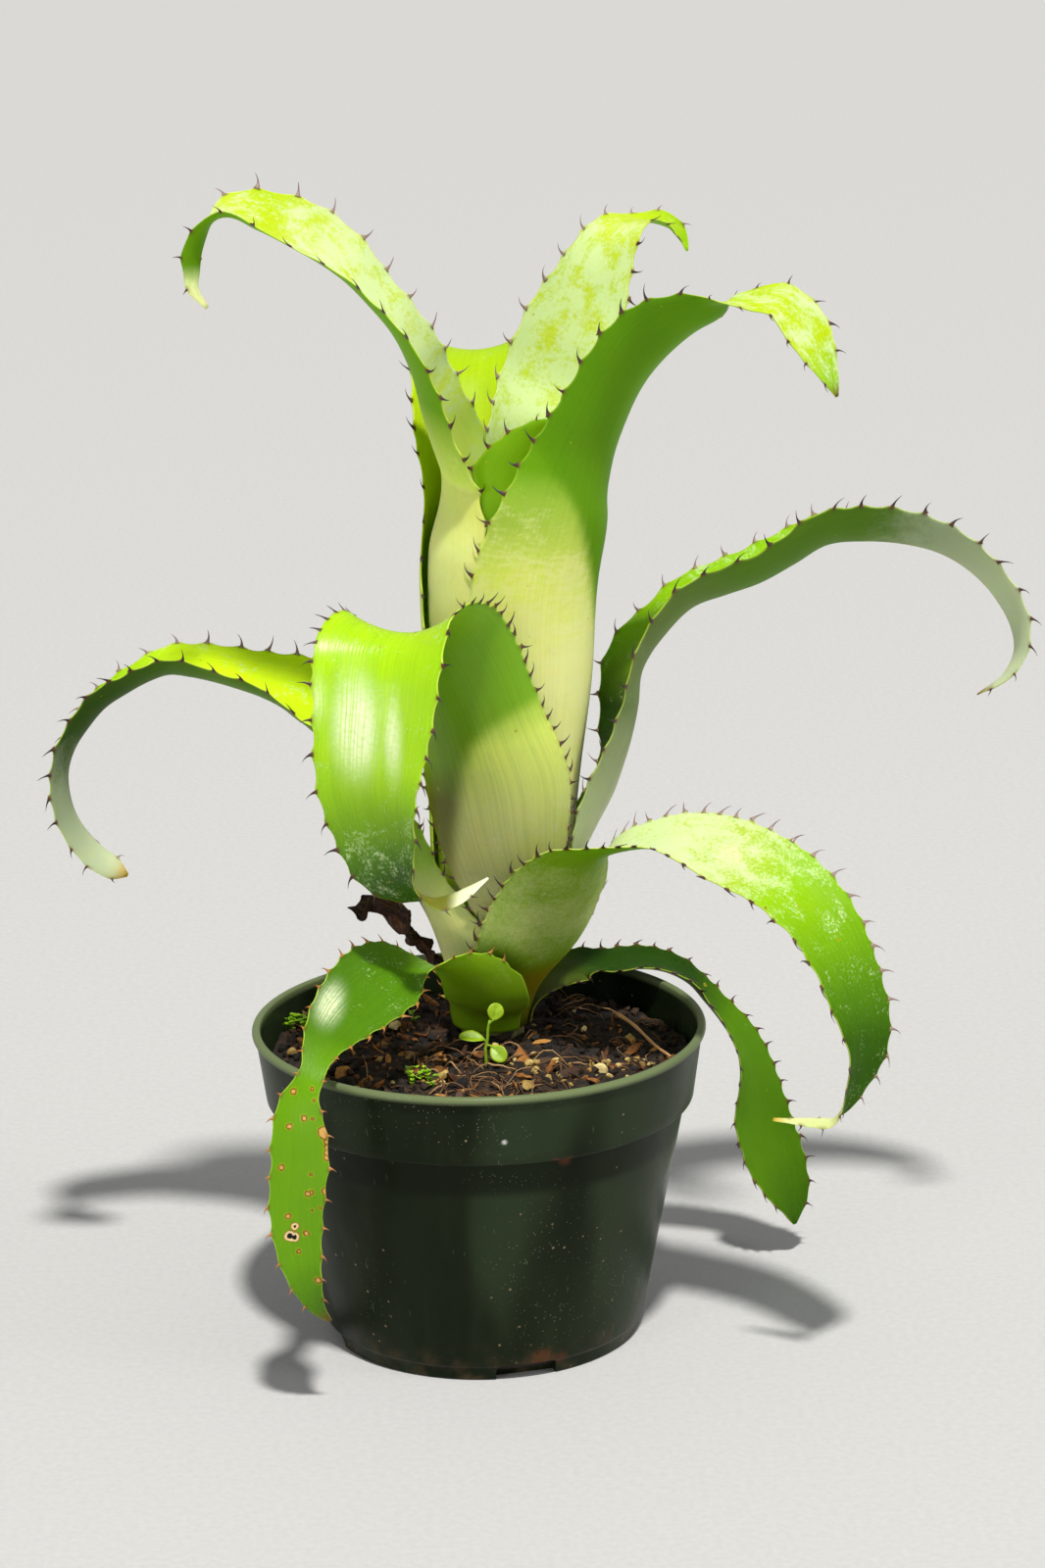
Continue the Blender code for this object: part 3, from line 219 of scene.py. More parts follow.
# The leaves from the inside of the tube out. A sheath has its turn round the tube and its spread in degrees,
# or both by height, its shell counted from outside, and the heights where it starts and leaves the tube.
# Spines stand above a height. A blade's stations have the middle, the width, the degrees that the section
# bends by, and the way that the upper face looks.
LEAVES = {
    "leaf_heart": dict(
        turn=-46, shell=10, starts_at=114, leaves_at=290, spread=148, spines_above=295, slot="leaf_young",
        blade=[
            (28.5, 3.5, 305, 62, 152, (-0.66, 0.75, 0)),
            (28.3, 3.5, 310, 54, 142, (-0.66, 0.75, 0)),
            (28.3, 3.5, 313, 36, 116, (-0.66, 0.75, 0)),
            (28.3, 3.3, 315.5, 16, 90, (-0.66, 0.75, 0)),
            (29, 4, 317, 1.4, 60, (-0.66, 0.75, 0)),
        ]),
    "leaf_top_back": dict(
        turn=75, shell=9, starts_at=111, leaves_at=260, spread=110, spines_above=290, slot="leaf_pale",
        blade=[
            (23.1, 40.4, 308, 38.2, 88, (0.09, -0.82, 0.57)),
            (28.4, 49, 320, 39.9, 80, (0.02, -0.89, 0.46)),
            (34.6, 53.6, 335.3, 38.1, 74, (-0.06, -0.93, 0.36)),
            (40.9, 57, 347.7, 34.3, 66, (-0.08, -0.92, 0.39)),
            (46.2, 60.1, 359.6, 27.2, 60, (-0.14, -0.87, 0.47)),
            (51.5, 63.8, 368.2, 22.4, 55, (-0.2, -0.66, 0.73)),
            (57, 68.3, 371.8, 20.4, 55, (-0.11, -0.09, 0.99)),
            (63.8, 74.9, 370.7, 16.1, 60, (0.18, 0.1, 0.98)),
            (69.9, 79.6, 369.2, 11.5, 70, (0.64, -0.33, 0.69)),
            (74.1, 81.6, 365.1, 8.1, 70, (0.79, -0.52, 0.32)),
            (76.1, 80.1, 359.8, 1.4, 60, (0.79, -0.52, 0.32)),
        ]),
    "leaf_top_left": dict(
        turn=195, shell=8, starts_at=109, leaves_at=270, spread=118, spines_above=270, slot="leaf_pale",
        blade=[
            (-9.2, 21.2, 297.8, 63.2, 128, (0.88, -0.15, 0.45)),
            (-11.1, 17.6, 304.9, 59.7, 116, (0.92, -0.14, 0.38)),
            (-14.9, 12.9, 319.6, 54.5, 106, (0.94, -0.12, 0.33)),
            (-18.6, 7.3, 335.7, 47.5, 96, (0.91, -0.12, 0.41)),
            (-23.7, 4.9, 347.4, 41.5, 88, (0.82, -0.13, 0.56)),
            (-31.1, 4, 357.8, 40.2, 80, (0.76, -0.15, 0.63)),
            (-39.5, 3.6, 368.3, 39.2, 76, (0.68, -0.25, 0.69)),
            (-48.4, 4, 375.8, 39.1, 75, (0.54, -0.33, 0.78)),
            (-58.8, 2.9, 382.1, 35.4, 75, (0.4, -0.35, 0.85)),
            (-68.4, 1.9, 386, 30.7, 75, (0.25, -0.3, 0.92)),
            (-75.4, 0.3, 387.8, 23.7, 75, (-0.05, -0.3, 0.95)),
            (-80.2, -2.1, 387, 15.3, 75, (-0.6, -0.02, 0.8)),
            (-84.4, -2.8, 382.7, 12.1, 75, (-0.79, 0.43, 0.45)),
            (-88.3, -3.1, 375.2, 9.7, 70, (-0.64, 0.75, 0.17)),
            (-88.8, -2.2, 369.2, 7.4, 60, (-0.56, 0.82, -0.11)),
            (-88.9, -3.1, 364.9, 4.6, 50, (-0.46, 0.84, -0.2)),
            (-84.3, -3.1, 358, 1.4, 50, (-0.46, 0.84, -0.2)),
        ]),
    "leaf_top_right": dict(
        turn=-35, shell=7, starts_at=107, leaves_at=260, spread=174, spines_above=240, slot="leaf_right",
        blade=[
            (41.7, 3.4, 283.8, 83.5, 158, (-0.73, 0.49, 0.48)),
            (42.4, 5.2, 294, 74.1, 134, (-0.71, 0.48, 0.51)),
            (43.8, 5.6, 304, 62.4, 118, (-0.68, 0.49, 0.55)),
            (47.4, 4, 315.5, 53.3, 104, (-0.65, 0.53, 0.55)),
            (52.6, 2, 327.4, 47.9, 95, (-0.6, 0.56, 0.57)),
            (59.2, -1.3, 338.6, 45.1, 90, (-0.46, 0.6, 0.66)),
            (66.7, -5, 347.8, 39, 84, (-0.19, 0.6, 0.77)),
            (75.1, -9.5, 353.6, 28.6, 76, (0.04, 0.54, 0.84)),
            (82.1, -13.1, 357.9, 14.9, 60, (0.15, 0.43, 0.89)),
            (85.5, -16.4, 359.5, 7.4, 50, (-0.25, -0.21, 0.94)),
            (92.4, -18.5, 359.7, 12.5, 45, (-0.18, -0.44, 0.88)),
            (100.2, -20, 359.8, 18, 45, (0.16, -0.57, 0.81)),
            (106.8, -21.5, 353.8, 21.3, 45, (0.42, -0.73, 0.53)),
            (112.3, -23.7, 345.1, 17.6, 45, (0.49, -0.79, 0.37)),
            (116.3, -24.8, 336.7, 9.8, 45, (0.64, -0.73, 0.24)),
            (119.4, -24.9, 329.3, 1.4, 50, (0.64, -0.73, 0.24)),
        ]),
    "leaf_back": dict(
        turn=133, shell=6, starts_at=105.5, leaves_at=265, spread=122, spines_above=240, slot="leaf_right",
        blade=[
            (0, 45, 288, 52, 110, (0.4, -0.9, 0)),
            (-1, 53, 309, 46, 90, (0.2, -1.0, 0.4)),
            (0, 66, 323, 43, 80, (0, -0.6, 0.8)),
            (2, 82, 326, 40, 70, (0, 0, 1.0)),
            (3, 98, 317, 37, 65, (0, 0.6, 0.8)),
            (2, 109, 300, 33, 65, (0, 0.9, 0.4)),
            (0, 114, 279, 25, 70, (0, 1.0, 0)),
            (-2, 112, 260, 13, 70, (0, 1.0, -0.3)),
            (-3, 107, 249, 1.4, 60, (0, 0.9, -0.5)),
        ]),
    "leaf_right": dict(
        turn=18, shell=5, starts_at=104.5, leaves_at=150, spread=94, spines_above=140, slot="leaf_waxy",
        blade=[
            (48.6, 27.3, 185.2, 49.1, 100, (-0.95, 0.17, 0.27)),
            (52.7, 28.9, 198.6, 49.5, 100, (-0.97, 0.01, 0.26)),
            (55.6, 32.3, 212, 49.1, 95, (-0.97, -0.12, 0.23)),
            (57, 35, 223, 50.6, 90, (-0.94, -0.12, 0.32)),
            (60.9, 37.1, 229.6, 53.3, 90, (-0.84, -0.02, 0.55)),
            (65, 37.2, 234.4, 52.5, 90, (-0.72, 0.08, 0.69)),
            (75.9, 39.5, 244.5, 52.3, 95, (-0.58, 0.13, 0.8)),
            (86.8, 41.1, 248.2, 53.1, 100, (-0.39, 0.16, 0.91)),
            (98.6, 42.6, 251.8, 53.1, 108, (-0.42, 0.15, 0.89)),
            (110.8, 44.2, 257.7, 52.2, 115, (-0.47, 0.19, 0.86)),
            (121.7, 45, 263.8, 50, 120, (-0.26, 0.25, 0.93)),
            (134.7, 45.1, 265.2, 47.2, 120, (0.04, 0.3, 0.95)),
            (147.9, 46, 263.9, 43.4, 116, (0.27, 0.3, 0.91)),
            (160.1, 45.4, 260.5, 38.4, 112, (0.49, 0.3, 0.82)),
            (171.1, 44.9, 253.8, 33.3, 105, (0.69, 0.28, 0.66)),
            (179.9, 43.4, 244.9, 28, 100, (0.85, 0.26, 0.45)),
            (185.5, 41.9, 234.5, 22.4, 95, (0.96, 0.23, 0.15)),
            (186.3, 40.7, 226, 16.8, 90, (0.94, 0.06, -0.33)),
            (182.4, 39.5, 218.2, 10.1, 80, (0.66, -0.02, -0.75)),
            (173.3, 40, 211.1, 1.4, 60, (0.66, -0.02, -0.75)),
        ]),
    "leaf_front": dict(
        shell=3, starts_at=102.5, leaves_at=178, spines_above=140, slot="leaf_front",
        sheath=((102, -60, 50), (140, -72, 62), (165, -87.5, 93), (190, -100, 118)),
        blade=[
            (5.8, -9, 193.2, 61, 114, (0.13, 0.95, 0.29)),
            (2.3, -11.1, 207.3, 55.8, 104, (0.15, 0.93, 0.32)),
            (-2.1, -14.9, 222.4, 52.5, 98, (0.13, 0.92, 0.36)),
            (-7.2, -19.1, 236.2, 53.4, 90, (0.11, 0.89, 0.44)),
            (-13, -23.8, 247.2, 54.5, 80, (0.07, 0.76, 0.65)),
            (-19, -29.5, 253.6, 53.5, 68, (-0.02, 0.43, 0.9)),
            (-23.7, -34.3, 255.3, 51.6, 58, (-0.18, -0.12, 0.98)),
            (-27.4, -39.3, 252.5, 51, 52, (-0.3, -0.63, 0.72)),
            (-29.7, -44.5, 244.6, 49.4, 50, (-0.33, -0.86, 0.39)),
            (-31, -46.7, 233.7, 46.6, 52, (-0.35, -0.93, 0.14)),
            (-32.8, -47.1, 219.9, 43.1, 56, (-0.34, -0.94, 0)),
            (-33.8, -45.7, 204.9, 38.8, 62, (-0.34, -0.93, -0.14)),
            (-31.7, -43.7, 190.1, 33.1, 66, (-0.35, -0.92, -0.19)),
            (-29, -43.3, 179.2, 27.3, 70, (-0.32, -0.91, -0.26)),
            (-24, -43.1, 172.1, 21.1, 70, (-0.33, -0.78, -0.53)),
            (-18.6, -43.2, 168.7, 15.2, 65, (-0.31, -0.38, -0.87)),
            (-13.3, -43.2, 166.7, 11.1, 60, (-0.09, 0.13, -0.99)),
            (-7.8, -42.4, 167.1, 9.1, 60, (0.22, 0.39, -0.89)),
            (-2, -40.7, 169.8, 5.5, 55, (0.4, 0.3, -0.87)),
            (3.7, -38, 172.7, 1.4, 55, (0.4, 0.3, -0.87)),
        ]),
    "leaf_left": dict(
        shell=4, starts_at=103.5, leaves_at=140, spines_above=150, slot="leaf_waxy",
        sheath=((103, -168, 150), (140, -172, 140), (165, -180, 125)),
        blade=[
            (-25.3, 26.1, 155.5, 57.1, 110, (0.91, 0.15, 0.4)),
            (-31.6, 27.6, 171.6, 57.5, 100, (0.89, 0.14, 0.44)),
            (-39.7, 33.4, 187.5, 53.2, 95, (0.83, -0.02, 0.56)),
            (-48.7, 37.6, 200.4, 51.8, 92, (0.71, -0.21, 0.67)),
            (-55.4, 40.9, 208.3, 48.7, 90, (0.54, -0.31, 0.78)),
            (-61.9, 42, 212.7, 45.8, 90, (0.37, -0.29, 0.88)),
            (-69.4, 42.3, 215.6, 43.4, 92, (0.29, -0.16, 0.94)),
            (-78.2, 43.1, 218.2, 42.3, 95, (0.25, -0.08, 0.97)),
            (-87.7, 44.2, 220.6, 40.9, 95, (0.2, -0.02, 0.98)),
            (-96.8, 44.2, 222.5, 39.8, 95, (0.12, 0.04, 0.99)),
            (-104.5, 44.3, 223.1, 39, 97, (-0.13, 0.09, 0.99)),
            (-110.8, 43.7, 221, 38.1, 98, (-0.42, 0.11, 0.9)),
            (-119, 43, 216.5, 37.3, 98, (-0.53, 0.14, 0.84)),
            (-126.6, 42, 211.6, 37.6, 98, (-0.66, 0.13, 0.74)),
            (-132.6, 41.2, 205, 37.5, 95, (-0.81, 0.11, 0.57)),
            (-137.6, 39.5, 198, 34.9, 92, (-0.94, 0.05, 0.34)),
            (-140.2, 38.2, 190.4, 28.7, 90, (-1.0, 0.04, 0.01)),
            (-140.2, 37.2, 181.7, 23.1, 86, (-0.95, 0.19, -0.23)),
            (-138.2, 37.1, 172.3, 19, 80, (-0.87, 0.27, -0.41)),
            (-133.9, 37, 163.9, 15, 78, (-0.7, 0.39, -0.6)),
            (-128.2, 36.3, 157.7, 11.2, 75, (-0.41, 0.68, -0.61)),
            (-123.1, 36.4, 154, 9, 65, (-0.21, 0.93, -0.31)),
            (-120.9, 37.9, 152.3, 1.4, 60, (-0.21, 0.93, -0.31)),
        ]),
    "leaf_low_right": dict(
        turn=-55, shell=2, starts_at=101.5, leaves_at=118, spread=118, spines_above=125, slot="leaf_low",
        blade=[
            (22.7, -0.3, 133.6, 52.6, 105, (-0.45, 0.77, 0.44)),
            (27, -4.4, 146.8, 51.7, 100, (-0.41, 0.78, 0.48)),
            (33.7, -8.6, 160.2, 49, 95, (-0.42, 0.7, 0.57)),
            (39.1, -10.2, 168.4, 43.4, 85, (-0.39, 0.44, 0.81)),
            (45.6, -13.4, 172.5, 37.9, 78, (-0.26, 0.18, 0.95)),
            (53.9, -16.7, 175.8, 35.6, 70, (-0.2, 0.11, 0.97)),
            (62.5, -19.8, 178, 35.8, 65, (-0.09, -0.04, 0.99)),
            (70.9, -22.5, 177.7, 38.2, 60, (0.09, -0.22, 0.97)),
            (79.5, -25.8, 175.3, 39.3, 55, (0.13, -0.38, 0.92)),
            (89, -30.2, 172.5, 38.6, 52, (0.16, -0.43, 0.89)),
            (98.1, -34.1, 168.7, 36.8, 50, (0.27, -0.5, 0.82)),
            (106.9, -38.9, 162.1, 35.1, 50, (0.34, -0.57, 0.74)),
            (113.6, -43.9, 154.5, 32.8, 50, (0.45, -0.61, 0.65)),
            (118.3, -48.3, 146.1, 30.5, 50, (0.51, -0.68, 0.53)),
            (122, -52.2, 136.3, 29.2, 52, (0.53, -0.73, 0.44)),
            (125.3, -55.7, 125.9, 25.9, 55, (0.57, -0.76, 0.31)),
            (125.9, -58.5, 115.5, 20.9, 60, (0.65, -0.76, 0.01)),
            (122.7, -59.8, 105.1, 13.8, 62, (0.71, -0.65, -0.26)),
            (119.3, -61, 97.3, 6.6, 60, (0.66, -0.58, -0.47)),
            (116, -60.2, 93.2, 5.2, 60, (0.61, 0.29, -0.74)),
            (109.9, -56.3, 91.6, 5.3, 60, (0.35, 0.41, -0.84)),
            (103.4, -53.1, 90.9, 2.6, 50, (0.24, 0.47, -0.85)),
            (97.1, -50.1, 90.5, 1.4, 50, (0.24, 0.47, -0.85)),
        ]),
    "leaf_low_back": dict(
        turn=38, shell=1, starts_at=101.5, leaves_at=105, spread=108, spines_above=110, slot="leaf_low",
        blade=[
            (38.9, 43.2, 113.7, 26.4, 85, (0.25, 0.01, 0.97)),
            (45.1, 44.6, 112.6, 26.9, 75, (0.07, -0.01, 1.0)),
            (54.9, 46.6, 113.3, 26.6, 70, (0.08, 0, 1.0)),
            (63.8, 48.5, 111.8, 26.4, 65, (0.36, 0, 0.93)),
            (72.2, 50.1, 107.4, 25.2, 60, (0.65, -0.04, 0.76)),
            (79.3, 51.8, 99.5, 24.2, 58, (0.78, -0.11, 0.62)),
            (85.8, 53, 91.3, 22.5, 55, (0.81, -0.17, 0.56)),
            (91.2, 53.9, 84, 20.6, 55, (0.82, -0.38, 0.42)),
            (94.8, 54.9, 75.8, 21.3, 55, (0.81, -0.55, 0.22)),
            (97.2, 55.5, 64.6, 23.4, 55, (0.67, -0.73, 0.12)),
            (98.7, 55.7, 52.3, 27.8, 55, (0.55, -0.83, 0.13)),
            (102.2, 55.7, 40.2, 28.3, 55, (0.53, -0.83, 0.18)),
            (106.8, 55.6, 28.6, 25.2, 58, (0.52, -0.83, 0.18)),
            (110.4, 55.3, 20.1, 17.2, 60, (0.57, -0.82, 0.06)),
            (111.8, 54.1, 11.5, 1.4, 60, (0.57, -0.82, 0.06)),
        ]),
    "leaf_low_left": dict(
        turn=-112, shell=1, starts_at=101.5, leaves_at=108, spread=128, spines_above=110, slot="leaf_low",
        blade=[
            (2.1, -4.7, 116.4, 31.4, 85, (0.08, 0.87, 0.48)),
            (-2.5, -9.6, 127, 30.8, 80, (-0.03, 0.82, 0.57)),
            (-10, -13, 132.8, 18.8, 70, (-0.14, 0.63, 0.76)),
            (-18.5, -17, 135.4, 12.3, 60, (0.3, 0.05, 0.95)),
            (-25.5, -23, 137.2, 24.1, 60, (0.48, -0.24, 0.84)),
            (-31.5, -31, 135.7, 32.7, 60, (0.36, -0.46, 0.81)),
            (-39.4, -40.8, 132.1, 31.3, 60, (0.32, -0.57, 0.75)),
            (-47.3, -52.5, 127.9, 23.7, 55, (0.38, -0.62, 0.69)),
            (-52.3, -63.1, 122.7, 14.4, 50, (0.26, -0.65, 0.72)),
            (-55.1, -71.4, 116.3, 8.4, 45, (-0.07, -0.74, 0.67)),
            (-58.7, -74.7, 109.3, 14.9, 45, (-0.14, -0.89, 0.44)),
            (-59.4, -77, 100.7, 19.9, 48, (-0.06, -0.97, 0.22)),
            (-59.4, -78.3, 89.3, 21.5, 48, (-0.04, -1.0, 0.08)),
            (-61, -79, 73.9, 19.8, 48, (0, -1.0, 0)),
            (-60.5, -78.8, 58.2, 16.9, 48, (0.06, -1.0, -0.06)),
            (-58, -77.8, 45.1, 11.3, 50, (0, -0.99, -0.16)),
            (-54.7, -76.4, 36.4, 5.3, 50, (0.09, -0.96, -0.26)),
            (-51.1, -74.9, 31.7, 1.4, 50, (0.09, -0.96, -0.26)),
        ]),
    "leaf_dried": dict(
        turn=158, shell=1, starts_at=101.5, leaves_at=113, spread=44, spines_above=None, slot="dried",
        blade=[
            (-20, 24, 128, 12, 90, (0.9, 0, 0.4)),
            (-27, 19, 138, 12, 110, (0.6, 0.3, 0.7)),
            (-33, 13, 145, 14, 130, (0.2, 0.5, 0.9)),
            (-38, 8, 149, 9, 120, (-0.3, 0.4, 0.9)),
            (-42, 5, 146, 1.4, 60, (-0.6, 0.2, 0.8)),
        ]),
}

# How far apart the spines stand, by the share of the leaf's length
SPINE_GAPS = {
    "leaf_heart": ((0.0, 9.0), (1.0, 9.0)),
    "leaf_top_back": ((0.0, 12.5), (1.0, 11.0)),
    "leaf_top_left": ((0.0, 12.5), (0.9, 12.0), (1.0, 9.0)),
    "leaf_top_right": ((0.0, 9.5), (0.5, 10.5), (1.0, 9.5)),
    "leaf_back": ((0.0, 11.0), (1.0, 11.0)),
    "leaf_right": ((0.0, 8.0), (0.3, 11.5), (1.0, 11.0)),
    "leaf_front": ((0.0, 6.2), (0.50, 5.6), (0.58, 5.0), (0.64, 11.0), (1.0, 10.5)),
    "leaf_left": ((0.0, 8.0), (0.4, 10.5), (1.0, 10.0)),
    "leaf_low_right": ((0.0, 6.2), (0.45, 6.5), (0.6, 9.5), (1.0, 9.0)),
    "leaf_low_back": ((0.0, 6.5), (1.0, 7.5)),
    "leaf_low_left": ((0.0, 6.0), (0.45, 7.5), (0.6, 9.5), (1.0, 9.5)),
}

# The side of a leaf whose spines have dried to a pale grey, and the bare length at a margin's start
DRY_SPINES = {"leaf_top_left": 1, "leaf_top_back": -1, "leaf_left": 1, "leaf_right": -1, "leaf_low_right": -1}
BARE_MARGIN = {("leaf_low_left", -1): 30.0}
# A smaller share gives a leaf a broader pale rim
RIM_SHARE = {"leaf_heart": 0.35}
SPINE_SCALE = {"leaf_low_left": 0.72, "leaf_low_back": 0.75, "leaf_front": 0.95}

# Colours of the leaves, linear
BRIGHT_LIME = (0.56, 0.76, 0.006)
LIME = (0.43, 0.58, 0.006)
LEAF_GREEN = (0.26, 0.50, 0.004)
GREEN = (0.13, 0.31, 0.004)
DEEP_GREEN = (0.032, 0.10, 0.002)
# Painted shade: the low back leaf's upper face is darkened where the leaves above shade it
PAINTED_SHADE_GREEN = (0.014, 0.05, 0.001)
LOW_GREEN = (0.075, 0.19, 0.002)
YOUNG_GREEN = (0.16, 0.34, 0.003)
SCURF = (0.58, 0.70, 0.36)
PALE_LIME = (0.48, 0.60, 0.04)
FROSTED = (0.40, 0.52, 0.04)
GLOSSY_GREEN = (0.38, 0.66, 0.004)
SHEATH_PALE = (0.72, 0.76, 0.28)
SHEATH_LIME = (0.63, 0.74, 0.13)
SHEATH_CREAM = (0.50, 0.53, 0.17)
SHEATH_GREEN = (0.18, 0.33, 0.005)
SHEATH_GREY = (0.30, 0.31, 0.11)
MID_GREEN = (0.075, 0.20, 0.003)
HANG_GREEN = (0.14, 0.33, 0.003)
OLIVE = (0.10, 0.12, 0.006)
AMBER = (0.30, 0.24, 0.006)
FROST = (0.74, 0.77, 0.34)
WAX = (0.46, 0.52, 0.35)
WAX_PALE = (0.52, 0.58, 0.34)
WAX_GREEN = (0.13, 0.19, 0.055)
WAX_DARK = (0.045, 0.100, 0.010)
WAX_MID = (0.085, 0.19, 0.010)
# Painted shade: the inner face of a sheath, darkened deep in the tube
INNER_SHADE_GREEN = (0.024, 0.07, 0.002)
TIP_YELLOW = (0.58, 0.36, 0.04)
TIP_BROWN = (0.16, 0.07, 0.02)
TIP_PALE = (0.56, 0.62, 0.30)
TIP_WHITE = (0.80, 0.86, 0.56)
DEAD = (0.055, 0.020, 0.007)
DEAD_LIGHT = (0.13, 0.055, 0.018)

